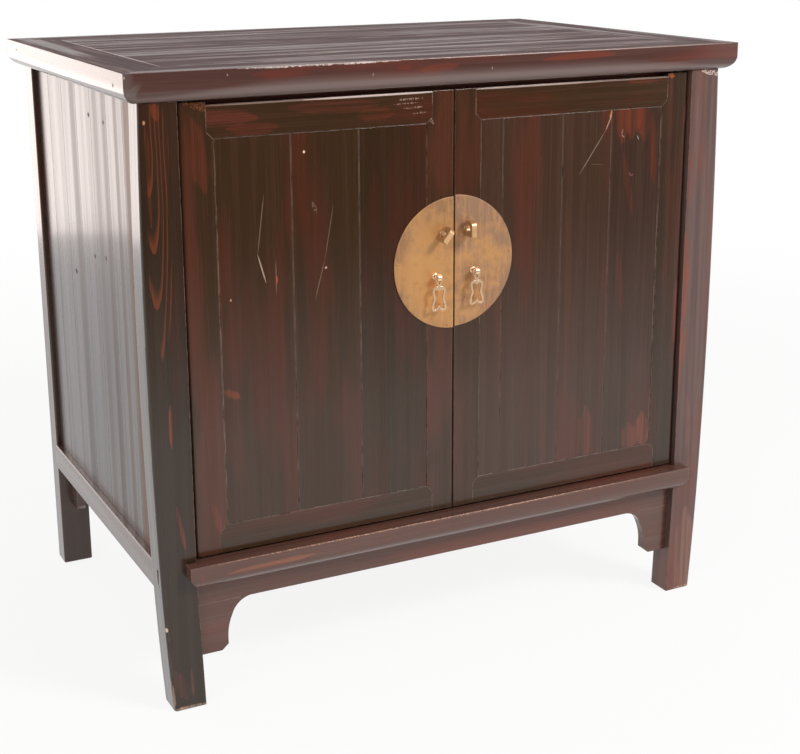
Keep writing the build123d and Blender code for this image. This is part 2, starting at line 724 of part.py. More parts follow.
def half_plate(heights):
    """Left half of the round plate, with its rim filed to a bevel."""
    with BuildPart() as plate:
        with BuildSketch(Plane.XZ.offset(-door_front_y)):
            with Locations((0, heights[0])):
                Circle(plate_radius)
                Rectangle(plate_radius, 2 * plate_radius, align=(Align.MIN, Align.CENTER), mode=Mode.SUBTRACT)
            with Locations((0, heights[0])):
                Rectangle(2 * plate_edge_gap, 2 * plate_radius, mode=Mode.SUBTRACT)
            with Locations((lug_x, heights[1])):
                Circle(lug_shank_radius + pivot_clearance, mode=Mode.SUBTRACT)
            with Locations((pull_x, heights[2])):
                Circle(staple_shank_radius, mode=Mode.SUBTRACT)
        extrude(amount=plate_thickness)
        rim = plate.faces().sort_by(Axis.Y)[0].edges().sort_by(SortBy.LENGTH)[-2:]
        chamfer(rim, length=0.7)
    return plate


def lug(heights, turn):
    """Lock lug: a flat-faced eye on a shank that turns in the door, peened over its washer."""
    lug_z = heights[1]
    lean = Plane(origin=(lug_x, 0, lug_z), x_dir=(0, 1, 0), z_dir=Vector(1, 0, 0).rotate(Axis.Y, turn))
    with BuildPart() as eye:
        with BuildSketch(lean) as side:
            with Locations(((front_y + lug_back_y) / 2, 0)):
                Rectangle(lug_depth, lug_height)
            fillet(side.vertices().group_by(Axis.Y)[-1], radius=lug_corner)
        extrude(amount=lug_width / 2, both=True)
        outline = eye.edges() - eye.faces().sort_by(Axis.Y)[0].edges()
        chamfer(outline.filter_by(Axis((0, 0, 0), lean.z_dir), reverse=True), length=0.8)
        with BuildSketch(lean):
            with Locations((front_y + eye_inset, 0)):
                Circle(eye_radius)
        extrude(amount=lug_width, both=True, mode=Mode.SUBTRACT)
        with BuildSketch(Plane.XY.offset(lug_z)):
            with BuildLine():
                Polyline(
                    (lug_x, lug_back_y - 3.5),
                    (lug_x + lug_collar_radius, lug_back_y - 2),
                    (lug_x + lug_collar_radius, plate_front_y - lug_clearance),
                    (lug_x + lug_shank_radius, plate_front_y - lug_clearance),
                    (lug_x + lug_shank_radius, washer_y[1]),
                    (lug_x + lug_peen_radius, washer_y[1]),
                    (lug_x + lug_shank_radius, washer_y[1] + 2),
                    (lug_x, washer_y[1] + 2),
                    close=True,
                )
            make_face()
        revolve(axis=Axis((lug_x, 0, lug_z), (0, 1, 0)))
    return eye


def lug_washer(heights):
    with BuildPart() as washer:
        with BuildSketch(Plane.XZ.offset(-washer_y[0])):
            with Locations((lug_x, heights[1])):
                Circle(lug_washer_radius)
                Circle(lug_shank_radius, mode=Mode.SUBTRACT)
        extrude(amount=washer_y[0] - washer_y[1])
    return washer


def staple(heights):
    """Staple that carries a pull: shank, domed rose, neck, and a round head bored for the pull's pin."""
    pull_z = heights[2]
    neck_y = pull_y + staple_neck_inset
    with BuildPart() as holder:
        with BuildSketch(Plane.YZ.offset(pull_x)):
            with BuildLine():
                Polyline(
                    (neck_y, pull_z),
                    (door_back_y + 1, pull_z),
                    (door_back_y + 1, pull_z + staple_shank_radius),
                    (plate_front_y, pull_z + staple_shank_radius),
                    (plate_front_y, pull_z + rose_radius),
                )
                rose = ThreePointArc(
                    (plate_front_y, pull_z + rose_radius),
                    (plate_front_y - 0.7 * rose_height, pull_z + 0.8 * rose_radius),
                    (plate_front_y - rose_height, pull_z + staple_neck_radius),
                )
                Polyline(rose @ 1, (neck_y, pull_z + staple_neck_radius), (neck_y, pull_z))
            make_face()
        revolve(axis=Axis((pull_x, 0, pull_z), (0, 1, 0)))
        with BuildSketch(Plane.XY.offset(pull_z)) as head:
            bore_y = pull_y - pull_pin_radius - pivot_clearance
            with Locations((pull_x, (bore_y + pull_y - head_radius) / 2)):
                Rectangle(head_width, bore_y - pull_y + head_radius)
            fillet(head.vertices().group_by(Axis.Y)[0], radius=head_round)
        revolve(axis=Axis((pull_x, pull_y, pull_z), (1, 0, 0)))
        with Locations((pull_x, door_back_y, pull_z)):
            Box(*clench, align=(Align.CENTER, Align.MIN, Align.CENTER))
    return holder


def pull(heights):
    """Drop pull: a yoke that straddles the staple's head on its own pin, and a waisted open frame.

    Its outline is drawn from the pin's axis: the right half is given, and mirrored."""
    pull_z = heights[2]
    with BuildPart() as drop:
        with BuildSketch(Plane(origin=(pull_x, pull_y, pull_z), x_dir=(1, 0, 0), z_dir=(0, -1, 0))):
            with BuildLine():
                leg_top = ThreePointArc((yoke_inner_x, 1.5), (5.25, 2.7), (yoke_outer_x, 1.5))
                leg = Line(leg_top @ 1, (yoke_outer_x, -1.5))
                vee = Line(leg @ 1, (1.9, -12.6))
                shoulder = ThreePointArc(vee @ 1, (7.6, -14), (10.4, -18.2))
                side = Spline(shoulder @ 1, (8.4, -29), (11.7, -44), tangents=[(0, -1), (0, -1)])
                hip = ThreePointArc(side @ 1, (10.4, -47.7), (6.8, -49))
                lobe = ThreePointArc(hip @ 1, (2.8, -47.6), (0, -43.6))
                Polyline(lobe @ 1, (0, -10.2), (yoke_inner_x, -3.4), leg_top @ 0)
            make_face()
            with BuildLine():
                crest = ThreePointArc((0, -20.8), (1.9, -17.7), (4.6, -16.9))
                inner_shoulder = ThreePointArc(crest @ 1, (6.7, -17.6), (7.4, -19.6))
                inner_side = Spline(inner_shoulder @ 1, (5.4, -29), (8.7, -43.4), tangents=[(0, -1), (0, -1)])
                inner_hip = ThreePointArc(inner_side @ 1, (8, -45.4), (6.2, -46))
                inner_lobe = ThreePointArc(inner_hip @ 1, (2.9, -44.4), (0, -38.4))
                Line(inner_lobe @ 1, crest @ 0)
            make_face(mode=Mode.SUBTRACT)
            mirror(about=Plane.YZ)
        extrude(amount=pull_thickness / 2, both=True)
        with BuildSketch(Plane.YZ.offset(pull_x)):
            with Locations((pull_y, pull_z)):
                Circle(pull_pin_radius)
        extrude(amount=yoke_outer_x - 0.8, both=True)
    return drop


for make, name in ((half_plate, "plate"), (lug_washer, "lug_washer"), (staple, "staple"), (pull, "pull")):
    save(make(left_heights), f"left_{name}")
    save(mirrored(make(right_heights)), f"right_{name}")

save(lug(left_heights, lug_turn), "left_lug")
save(mirrored(lug(right_heights, 0)), "right_lug")
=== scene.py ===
import math

import bmesh
import bpy
from mathutils import Matrix, Vector


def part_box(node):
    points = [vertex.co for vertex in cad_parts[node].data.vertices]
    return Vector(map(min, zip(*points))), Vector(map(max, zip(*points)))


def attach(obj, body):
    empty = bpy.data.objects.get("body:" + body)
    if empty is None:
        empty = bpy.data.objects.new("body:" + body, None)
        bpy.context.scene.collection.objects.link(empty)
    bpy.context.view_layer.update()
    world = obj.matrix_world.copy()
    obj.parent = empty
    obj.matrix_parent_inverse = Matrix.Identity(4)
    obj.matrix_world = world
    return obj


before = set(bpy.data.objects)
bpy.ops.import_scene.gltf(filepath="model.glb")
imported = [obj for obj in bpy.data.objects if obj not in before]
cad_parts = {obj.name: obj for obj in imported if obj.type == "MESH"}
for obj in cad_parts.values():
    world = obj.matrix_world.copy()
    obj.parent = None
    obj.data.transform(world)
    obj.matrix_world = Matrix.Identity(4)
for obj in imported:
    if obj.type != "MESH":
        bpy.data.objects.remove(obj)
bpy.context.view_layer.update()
print("frame loaded:", len(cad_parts), "nodes")

mm = 0.001


def linear(hexColour):
    channels = [int(hexColour[i:i + 2], 16) / 255 for i in (1, 3, 5)]
    bent = [c / 12.92 if c <= 0.04045 else ((c + 0.055) / 1.055) ** 2.4 for c in channels]
    return (*bent, 1.0)


# adds one node: inputs by name or in order, as a value or as a socket to link; out picks the output
def add(tree, kind, inputs=(), out=0, **settings):
    node = tree.nodes.new("ShaderNode" + kind)
    for key, value in settings.items():
        setattr(node, key, value)
    for key, value in (inputs.items() if isinstance(inputs, dict) else enumerate(inputs)):
        if isinstance(value, bpy.types.NodeSocket):
            tree.links.new(value, node.inputs[key])
        else:
            node.inputs[key].default_value = value
    return node if out is None else node.outputs[out]


def newMaterial(name):
    material = bpy.data.materials.new(name)
    material.use_nodes = True
    material.node_tree.nodes.clear()
    return material, material.node_tree


def newGroup(name, vectors, numbers, results):
    group = bpy.data.node_groups.new(name, "ShaderNodeTree")
    for label in vectors:
        group.interface.new_socket(label, in_out="INPUT", socket_type="NodeSocketVector")
    for label in numbers:
        group.interface.new_socket(label, in_out="INPUT", socket_type="NodeSocketFloat")
    for label in results:
        group.interface.new_socket(label, in_out="OUTPUT", socket_type="NodeSocketFloat")
    return group, group.nodes.new("NodeGroupInput").outputs, group.nodes.new("NodeGroupOutput").inputs


# Slow-grown fir, with its sizes in millimetres. Its rings are drawn at twice their real 2 to 3 mm, so that
# they show.
fir = {
    "ring": 5.5,
    "lateWood": 3.0,          # how late in its ring the wood turns dark
    "waver": 26,              # how far the rings wander
    "lean": (0.012, 0),       # how far the pith drifts sideways and inward, as a share of the length
    "cutApart": (370, 3100),  # boards come from places up to this far apart in the tree, across and along
    "Streak": {"across": 9, "along": 420, "detail": 4, "roughness": 0.62},
    "Patch": {"across": 46, "along": 260, "detail": 2, "roughness": 0.5},
    "Hair": {"across": 1.3, "along": 140, "detail": 2, "roughness": 0.6},
    "Hollow": {"across": 17, "along": 900, "detail": 1, "roughness": 0.5},
}


# what a cut through fir shows: streaks, patches and hairs along the grain, and rings about a leaning pith
def firGrain():
    noises = ("Streak", "Patch", "Hair", "Hollow")
    group, given, results = newGroup("fir grain", ("Wood", "Pith", "Lean"), (), (*noises, "Late"))
    made = {}
    for label in noises:
        size = fir[label]
        scale = [1 / (size[key] * mm) for key in ("across", "across", "along")]
        at = add(group, "VectorMath", (given["Wood"], scale), operation="MULTIPLY")
        made[label] = add(group, "TexNoise", {"Vector": at, "Scale": 1.0, "Detail": size["detail"],
                                              "Roughness": size["roughness"]})
    u, v, w = add(group, "SeparateXYZ", (given["Wood"],), None).outputs
    wavering = add(group, "Math", (made["Patch"], fir["waver"] * mm, u), operation="MULTIPLY_ADD")
    flat = add(group, "CombineXYZ", (wavering, v, 0.0))
    leaning = add(group, "VectorMath", {0: given["Lean"], "Scale": w}, operation="SCALE")
    fromOrigin = add(group, "VectorMath", (flat, leaning), operation="ADD")
    radius = add(group, "VectorMath", (fromOrigin, given["Pith"]), 1, operation="DISTANCE")
    rings = add(group, "Math", (radius, fir["ring"] * mm), operation="DIVIDE")
    withinRing = add(group, "Math", (rings,), operation="FRACT")
    made["Late"] = add(group, "Math", (withinRing, fir["lateWood"]), operation="POWER")
    for label, socket in made.items():
        group.links.new(socket, results[label])
    return group


# The shape of a stroke of wear, as shares: it is narrower at its ends, and fades from its core to its width.
stroke = {
    "endWidth": 0.3,
    "taperFrom": 0.25,    # of its length, out from its middle
    "core": 0.3,
}


# a stroke from A to B: 1 along its middle, 0 at its width
def strokeMask():
    group, given, results = newGroup("stroke", ("Place", "A", "B"), ("Width",), ("Mask",))
    fromA = add(group, "VectorMath", (given["Place"], given["A"]), operation="SUBTRACT")
    along = add(group, "VectorMath", (given["B"], given["A"]), operation="SUBTRACT")
    dotA = add(group, "VectorMath", (fromA, along), 1, operation="DOT_PRODUCT")
    dotB = add(group, "VectorMath", (along, along), 1, operation="DOT_PRODUCT")
    share = add(group, "Math", (dotA, dotB), operation="DIVIDE", use_clamp=True)
    nearest = add(group, "VectorMath", {0: along, "Scale": share}, operation="SCALE")
    away = add(group, "VectorMath", (fromA, nearest), 1, operation="DISTANCE")
    fromMiddle = add(group, "Math", (share, 0.5), operation="SUBTRACT")
    toEnd = add(group, "Math", (fromMiddle,), operation="ABSOLUTE")
    taper = add(group, "MapRange", (toEnd, 0.5, stroke["taperFrom"], stroke["endWidth"], 1.0),
                interpolation_type="SMOOTHSTEP")
    reach = add(group, "Math", (given["Width"], taper), operation="MULTIPLY")
    outward = add(group, "Math", (away, reach), operation="DIVIDE")
    mask = add(group, "MapRange", (outward, 1.0, stroke["core"]), interpolation_type="SMOOTHSTEP")
    group.links.new(mask, results["Mask"])
    return group


grainGroup = firGrain()
strokeGroup = strokeMask()

# Which of X, Y and Z lie across a piece's face, through it and along its grain.
grainOrders = {"X": "ZYX", "Y": "ZXY", "XY": "YZX", "YX": "XZY", "Z": "XYZ", "ZY": "YXZ"}


# the grain of one piece or row of boards, each board cut from its own place in the tree
def grainOf(tree, grain, joints, pith, lean):
    place = add(tree, "TexCoord", out="Object")
    axes = add(tree, "SeparateXYZ", (place,), None).outputs
    u, v, w = (axes[letter] for letter in grainOrders[grain])
    number = 0.5
    for joint in joints:
        beyond = add(tree, "Math", (u, joint * mm), operation="GREATER_THAN")
        number = add(tree, "Math", (number, beyond), operation="ADD")
    tone = add(tree, "TexWhiteNoise", {"W": number}, noise_dimensions="1D")
    if joints:
        across, along = fir["cutApart"]
        movedU = add(tree, "Math", (tone, across * mm, u), operation="MULTIPLY_ADD")
        movedW = add(tree, "Math", (tone, along * mm, w), operation="MULTIPLY_ADD")
    else:
        movedU, movedW = u, w
    wood = add(tree, "CombineXYZ", (movedU, v, movedW))
    grown = add(tree, "Group", {"Wood": wood, "Pith": (pith[0] * mm, pith[1] * mm, 0), "Lean": (*lean, 0)},
                None, node_tree=grainGroup)
    return {"place": place, "axes": axes, "across": u, "tone": tone,
            **{socket.name: socket for socket in grown.outputs}}


# an edge eased in the shading alone, and the cosine of its turn away from the true face
def easedEdge(tree, radius):
    eased = add(tree, "Bevel", (radius * mm,), samples=6)
    trueNormal = add(tree, "NewGeometry", out="Normal")
    return eased, add(tree, "VectorMath", (eased, trueNormal), 1, operation="DOT_PRODUCT")


# Fir darkened by age, planed by hand and never finished: matt, with dust in its pores.
bareFir = {
    "early": "#8d6a4a",
    "late": "#6d4a30",
    "dust": "#5d4632",
    "dustBetween": (0.4, 0.75),  # where the noise begins to show and where it shows in full, here and below
    "dustShare": 0.7,
    "hairBetween": (0.5, 0.8),
    "hairShare": 0.3,
    "roughness": (0.6, 0.78),
    "ior": 1.5,
    "relief": 0.06,              # mm, late wood stands above the early wood
    "easedEdge": 1.0,            # mm
}


def bareFirColour(tree, wood):
    dusty = add(tree, "MapRange", (wood["Patch"], *bareFir["dustBetween"], 0.0, bareFir["dustShare"]),
                interpolation_type="SMOOTHSTEP")
    hairs = add(tree, "MapRange", (wood["Hair"], *bareFir["hairBetween"], 0.0, bareFir["hairShare"]),
                interpolation_type="SMOOTHSTEP")
    colour = linear(bareFir["early"])
    for share, layer in ((wood["Late"], "late"), (dusty, "dust"), (hairs, "late")):
        colour = add(tree, "Mix", {0: share, 6: colour, 7: linear(bareFir[layer])}, 2, data_type="RGBA")
    return colour


def bareSoftwood(name, grain, parted=(), pith=(0, 70)):
    material, tree = newMaterial(name)
    wood = grainOf(tree, grain, parted, pith, fir["lean"])
    eased = add(tree, "Bevel", (bareFir["easedEdge"] * mm,), samples=4)
    bump = add(tree, "Bump", {"Height": wood["Late"], "Distance": bareFir["relief"] * mm, "Normal": eased})
    rough = add(tree, "MapRange", (wood["Patch"], 0.0, 1.0, *bareFir["roughness"]))
    shader = add(tree, "BsdfPrincipled", {"Base Color": bareFirColour(tree, wood), "Roughness": rough,
                                          "IOR": bareFir["ior"], "Normal": bump})
    add(tree, "OutputMaterial", {"Surface": shader}, None)
    return material


# Fir under several thin coats of dark brown lacquer, padded on by hand and polished by years of use:
# a deep gloss that follows the hollows left by the plane, red where the film is thin, pale at worn edges.
lacqueredFir = {
    "film": "#33200f",
    "streak": "#422815",
    "red": "#4b2011",
    "worn": "#a68c7c",
    "seam": "#80685a",
    "streakBetween": (0.4, 0.68),
    "streakShare": 0.5,           # how far the streaks of the grain show in the film
    "redFrom": 0.48,              # the film is reddish where the patches of the grain pass this
    "redSpread": 0.2,
    "redShare": 0.6,
    "lateShare": 0.3,
    "boardTones": (0.88, 1.14),   # the darkest and the lightest board
    "easedEdge": 1.6,             # mm
    "edgeBetween": (0.96, 0.8),   # cosine of the edge's turn, where wear begins and where it is full
    "chip": 16,                   # mm, size of the chips along a worn edge
    "chipBetween": (0.62, 0.74),  # on an edge without wear
    "wear": 1.0,
    "wearReach": 0.2,             # what a wear of 1 takes off chipBetween
    "wornShare": 0.75,
    "wornRoughness": 0.25,        # added where the film is gone
    "dash": 26,                   # mm, the seams' pale line is broken into dashes
    "dashBetween": (0.42, 0.6),
    "seamWidth": 0.9,             # mm
    "seamCore": 0.4,              # share of the width that is pale in full
    "seamShare": 0.7,
    "speck": 2.4,                 # mm
    "hollow": 0.45,               # mm, depth of the long hollows
    "ringRelief": 0.02,           # mm
    "hairRelief": 0.02,           # mm
    "ior": 1.5,
    "specular": 0.3,
    "roughness": (0.2, 0.34),
    "coat": 0.6,
    "coatLoss": 0.2,              # share of the coat that is worn off the ridges between the hollows
    "coatBetween": (0.4, 0.6),
    "coatRoughness": 0.12,
    "dullRoughness": 0.75,        # of a knot or a dull band
}


# the film itself: its streaks, reddish patches and the rings under it, in each board's own tone
def filmColour(tree, look, wood):
    streaked = add(tree, "MapRange", (wood["Streak"], *look["streakBetween"], 0.0, look["streakShare"]),
                   interpolation_type="SMOOTHSTEP")
    redTo = look["redFrom"] + look["redSpread"]
    reddish = add(tree, "MapRange", (wood["Patch"], look["redFrom"], redTo, 0.0, look["redShare"]),
                  interpolation_type="SMOOTHSTEP")
    ringed = add(tree, "Math", (wood["Late"], look["lateShare"]), operation="MULTIPLY")
    film = linear(look["film"])
    for share, layer in ((streaked, "streak"), (reddish, "red"), (ringed, "film")):
        film = add(tree, "Mix", {0: share, 6: film, 7: linear(look[layer])}, 2, data_type="RGBA")
    level = add(tree, "MapRange", (wood["tone"], 0.0, 1.0, *look["boardTones"]))
    return add(tree, "VectorMath", {0: film, "Scale": level}, operation="SCALE")


# Where the top is dusted and leaned on, its film has gone dull and purple-brown, with dark bands and pale
# scuffs along the grain that are partly wear and partly painted reflection of the room seen along the top,
# and streaks that dusting has kept polished: they mirror the room when seen along the top.
topFilmAndPaintedSheen = {
    "film": "#573f3e",
    # dark bands and pale scuffs, partly painted reflection, with their width and length in mm
    "band": {"tint": "#3d2a2b", "width": 24, "length": 620, "between": (0.44, 0.6), "share": 0.8},
    "scuffAndSheen": {"tint": "#86716d", "width": 15, "length": 260, "between": (0.5, 0.66), "share": 0.5},
    "polish": 0.32,                # how glossy the polished streaks are
    "polishBetween": (0.5, 0.4),   # they lie between the bands
    "roughness": 0.6,
    "facesUp": (0.75, 0.95),       # Z of the normal, where the dullness begins and where it is full
    "boardsApart": 9.0,            # boards come from places up to this far apart in the pattern
}


# the dull film and its painted reflection laid over a piece's colour where it faces up; also gives where that
# is, and its polish
def paintDullTopAndSheen(tree, grain, wood, normal, colour):
    upward = add(tree, "SeparateXYZ", (normal,), 2)
    matt = add(tree, "MapRange", (upward, *topFilmAndPaintedSheen["facesUp"]))
    apart = add(tree, "Math", (wood["tone"], topFilmAndPaintedSheen["boardsApart"]), operation="MULTIPLY")
    # dusty carries the dull film here, with its painted reflection of the room along the top
    dusty = linear(topFilmAndPaintedSheen["film"])
    noises = {}
    for layer in ("band", "scuffAndSheen"):
        look = topFilmAndPaintedSheen[layer]
        sizes = [look["length" if letter == grainOrders[grain][2] else "width"] for letter in "XYZ"]
        scale = [1 / (size * mm) for size in sizes]
        moved = add(tree, "VectorMath", (wood["place"], scale, apart), operation="MULTIPLY_ADD")
        noises[layer] = add(tree, "TexNoise", {"Vector": moved, "Scale": 1.0, "Detail": 4.0,
                                               "Roughness": 0.62})
        shown = add(tree, "MapRange", (noises[layer], *look["between"], 0.0, look["share"]),
                    interpolation_type="SMOOTHSTEP")
        dusty = add(tree, "Mix", {0: shown, 6: dusty, 7: linear(look["tint"])}, 2, data_type="RGBA")
    polished = add(tree, "MapRange", (noises["band"], *topFilmAndPaintedSheen["polishBetween"], 0.0, topFilmAndPaintedSheen["polish"]),
                   interpolation_type="SMOOTHSTEP")
    return add(tree, "Mix", {0: matt, 6: colour, 7: dusty}, 2, data_type="RGBA"), matt, polished


# how far the film has chipped off an eased edge
def chippedEdge(tree, look, wood, turned):
    edge = add(tree, "MapRange", (turned, *look["edgeBetween"]), interpolation_type="SMOOTHSTEP")
    chips = add(tree, "TexNoise", {"Vector": wood["place"], "Scale": 1 / (look["chip"] * mm), "Detail": 5.0,
                                   "Roughness": 0.7})
    between = [limit - look["wearReach"] * look["wear"] for limit in look["chipBetween"]]
    chipped = add(tree, "MapRange", (chips, *between), interpolation_type="SMOOTHSTEP")
    return add(tree, "Math", (edge, chipped), operation="MULTIPLY")


# broken pale lines along the seams
def seamLines(tree, look, wood, seams, colour):
    width = look["seamWidth"] * mm
    dashes = add(tree, "TexNoise", {"Vector": wood["place"], "Scale": 1 / (look["dash"] * mm), "Detail": 3.0})
    broken = add(tree, "MapRange", (dashes, *look["dashBetween"], 0.0, look["seamShare"]))
    for seam in seams:
        beside = add(tree, "Math", (wood["across"], seam * mm), operation="SUBTRACT")
        fromSeam = add(tree, "Math", (beside,), operation="ABSOLUTE")
        near = add(tree, "MapRange", (fromSeam, width, width * look["seamCore"]))
        share = add(tree, "Math", (near, broken), operation="MULTIPLY")
        colour = add(tree, "Mix", {0: share, 6: colour, 7: linear(look["seam"])}, 2, data_type="RGBA")
    return colour


# Marks are placed in mm on the plane of the face that they lie on: X and Z, Y and Z, or X and Y. A scratch
# is plain, a rub follows the streaks, rings keep to the late wood, chips are specks, and a knot or a dull
# band has lost its gloss.
markPlanes = {"front": (1, 0, 1), "side": (0, 1, 1), "top": (1, 1, 0)}
markFacings = {"front": (0, -1, 0), "side": (-1, 0, 0), "top": (0, 0, 1)}
markLook = {
    "offFace": (0.3, 0.2),        # cosine between a point's normal and the face's, where marks end
    "ringBetween": (0.25, 0.7),
    "streakWeight": 0.7,          # of the streaks and of the hairs in the noise that breaks up a rub
    "hairWeight": 0.3,
    "strokeWeight": 0.9,
}
# A ragged mark's noise counts between these limits and with this weight, and the mark shows over this range
# of the sum of its stroke and its noise.
raggedMarks = {
    "rub": {"noise": "streaks", "between": (0.4, 0.6), "weight": 0.7, "shows": (0.7, 1.6)},
    "rings": {"noise": "streaks", "between": (0.4, 0.6), "weight": 0.5, "shows": (0.5, 1.0)},
    "chips": {"noise": "specks", "between": (0.35, 0.65), "weight": 0.5, "shows": (1.1, 1.22)},
}


def onPlane(plane, point):
    across, up = point
    return {"front": (across, 0, up), "side": (0, across, up), "top": (across, up, 0)}[plane]


# the colour with its marks, and how much gloss they leave; off the marked face every point is moved away
def wearMarks(tree, look, wood, normal, plane, marks, colour):
    facing = add(tree, "VectorMath", (normal, markFacings[plane]), 1, operation="DOT_PRODUCT")
    offFace = add(tree, "MapRange", (facing, *markLook["offFace"]))
    flat = add(tree, "VectorMath", (wood["place"], markPlanes[plane], offFace), operation="MULTIPLY_ADD")
    lateLines = add(tree, "MapRange", (wood["Late"], *markLook["ringBetween"]))
    mostlyStreak = add(tree, "Math", (wood["Streak"], markLook["streakWeight"]), operation="MULTIPLY")
    noises = {
        "streaks": add(tree, "Math", (wood["Hair"], markLook["hairWeight"], mostlyStreak),
                       operation="MULTIPLY_ADD"),
        "specks": add(tree, "TexNoise", {"Vector": wood["place"], "Scale": 1 / (look["speck"] * mm),
                                         "Detail": 2.0}),
    }
    textures = {}
    for kind, ragged in raggedMarks.items():
        noise = noises[ragged["noise"]]
        textures[kind] = add(tree, "MapRange", (noise, *ragged["between"], 0.0, ragged["weight"]))
    gloss = None
    for kind, start, end, width, tint, strength in marks:
        a, b = (Vector(onPlane(plane, point)) * mm for point in (start, end))
        share = add(tree, "Group", {"Place": flat, "A": a, "B": b, "Width": width * mm}, "Mask",
                    node_tree=strokeGroup)
        if kind in raggedMarks:
            summed = add(tree, "Math", (share, markLook["strokeWeight"], textures[kind]),
                         operation="MULTIPLY_ADD")
            share = add(tree, "MapRange", (summed, *raggedMarks[kind]["shows"]),
                        interpolation_type="SMOOTHSTEP")
        if kind == "rings":
            share = add(tree, "Math", (share, lateLines), operation="MULTIPLY")
        share = add(tree, "Math", (share, strength), operation="MULTIPLY")
        colour = add(tree, "Mix", {0: share, 6: colour, 7: linear(tint)}, 2, data_type="RGBA")
        if kind in ("knot", "dull"):
            missing = add(tree, "Math", (1.0, share), operation="SUBTRACT")
            gloss = missing if gloss is None else add(tree, "Math", (gloss, missing), operation="MULTIPLY")
    return colour, gloss


# the hollows left by the plane, and the rings and hairs that stand up through the film
def filmRelief(tree, look, wood, eased):
    height = add(tree, "Math", (wood["Hollow"], look["hollow"]), operation="MULTIPLY")
    for label, relief in (("Late", "ringRelief"), ("Hair", "hairRelief")):
        height = add(tree, "Math", (wood[label], look[relief], height), operation="MULTIPLY_ADD")
    return add(tree, "Bump", {"Height": height, "Distance": mm, "Normal": eased})


# roughness and coat of the film: duller where it is worn or marked, with less coat on its ridges
def filmGloss(tree, look, wood, worn, gloss):
    polished = add(tree, "MapRange", (wood["Streak"], 0.0, 1.0, *look["roughness"]))
    rough = add(tree, "Math", (worn, look["wornRoughness"], polished), operation="MULTIPLY_ADD")
    onRidges = look["coat"] * (1 - look["coatLoss"])
    coat = add(tree, "MapRange", (wood["Hollow"], *look["coatBetween"], look["coat"], onRidges),
               interpolation_type="SMOOTHSTEP")
    if gloss is not None:
        rough = add(tree, "MapRange", (gloss, 1.0, 0.0, rough, look["dullRoughness"]))
        coat = add(tree, "Math", (gloss, coat), operation="MULTIPLY")
    return rough, coat


def lacqueredSoftwood(name, grain, seams=(), parted=(), pith=(31, 90), lean=fir["lean"], bareSide=None,
                      marks=(), plane="front", dulledAndPaintedSheen=False, **changes):
    look = {**lacqueredFir, **changes}
    material, tree = newMaterial(name)
    wood = grainOf(tree, grain, (*seams, *parted), pith, lean)
    normal = add(tree, "TexCoord", out="Normal")
    colour = filmColour(tree, look, wood)
    # where it faces up: the dull film, partly painted reflection of the room
    if dulledAndPaintedSheen:
        colour, matt, polished = paintDullTopAndSheen(tree, grain, wood, normal, colour)
    eased, turned = easedEdge(tree, look["easedEdge"])
    worn = chippedEdge(tree, look, wood, turned)
    paled = add(tree, "Math", (worn, look["wornShare"]), operation="MULTIPLY")
    colour = add(tree, "Mix", {0: paled, 6: colour, 7: linear(look["worn"])}, 2, data_type="RGBA")
    if seams:
        colour = seamLines(tree, look, wood, seams, colour)
    gloss = None
    if marks:
        colour, gloss = wearMarks(tree, look, wood, normal, plane, marks, colour)
    bump = filmRelief(tree, look, wood, eased)
    rough, coat = filmGloss(tree, look, wood, worn, gloss)
    if dulledAndPaintedSheen:
        rough = add(tree, "Mix", {0: matt, 2: rough, 3: topFilmAndPaintedSheen["roughness"]})
        coat = add(tree, "Mix", {0: matt, 2: coat, 3: polished})
    if bareSide:  # boards have no lacquer on their inner face
        letter, level, compare = bareSide
        inner = add(tree, "Math", (wood["axes"][letter], level * mm), operation=compare)
        colour = add(tree, "Mix", {0: inner, 6: colour, 7: bareFirColour(tree, wood)}, 2, data_type="RGBA")
        rough = add(tree, "Mix", {0: inner, 2: rough, 3: bareFir["roughness"][0]})
        outer = add(tree, "Math", (1.0, inner), operation="SUBTRACT")
        coat = add(tree, "Math", (outer, coat), operation="MULTIPLY")
    shader = add(tree, "BsdfPrincipled", {
        "Base Color": colour, "Roughness": rough, "IOR": look["ior"], "Normal": bump,
        "Specular IOR Level": look["specular"], "Coat Weight": coat, "Coat Roughness": look["coatRoughness"],
        "Coat Normal": bump})
    add(tree, "OutputMaterial", {"Surface": shader}, None)
    return material


# Sheet and cast brass, hammered and filed, gone brown in the air and rubbed back to yellow where hands pass:
# its bare metal mirrors softly, and its brown skin hardly does.
yellowBrass = {
    "yellow": "#e0a66a",
    "brown": "#9c7350",
    "red": "#b4704a",
    "rim": "#f0dcc0",
    "cloud": 40,                    # mm
    "cloudBetween": (0.5, 0.9),     # on brass that hasn't browned
    "browning": 0.3,                # what full browning takes off cloudBetween
    "blotch": 21,                   # mm
    "blotchBetween": (0.54, 0.7),
    "hammer": 11,                   # mm between the hammer's marks
    "rub": (3.5, 45),               # mm, width and length of the lines left by rubbing
    "rubBetween": (0.45, 0.7),
    "rubShare": 0.35,
    "rubRelief": 0.1,               # share of the hammer's relief
    "relief": 0.15,                 # mm
    "rimFrom": 0.6,                 # share of a plate's radius where it begins to darken
    "rimBrown": 0.55,
    "redShare": 0.3,                # of the blotches, and what the rim adds to it
    "rimRed": 0.5,
    "easedEdge": 0.6,               # mm
    "edgeBetween": (0.97, 0.8),     # cosine of the edge's turn, where it is rubbed bright
    "edgeShare": 0.8,
    "bare": 0.6,                    # share of the metal that has no skin
    "bareUnderBrown": 0.4,
    "roughness": (0.36, 0.5),
    # the lug's faces that turn from the front are brown: partly tarnish, partly painted shade
    "bodyBrownAndShade": 0.0,               # 1 where only the flat front is kept bright
    "frontBetween": (-0.95, -0.75),  # Y of the normal, where the bright front ends and where all is brown
}


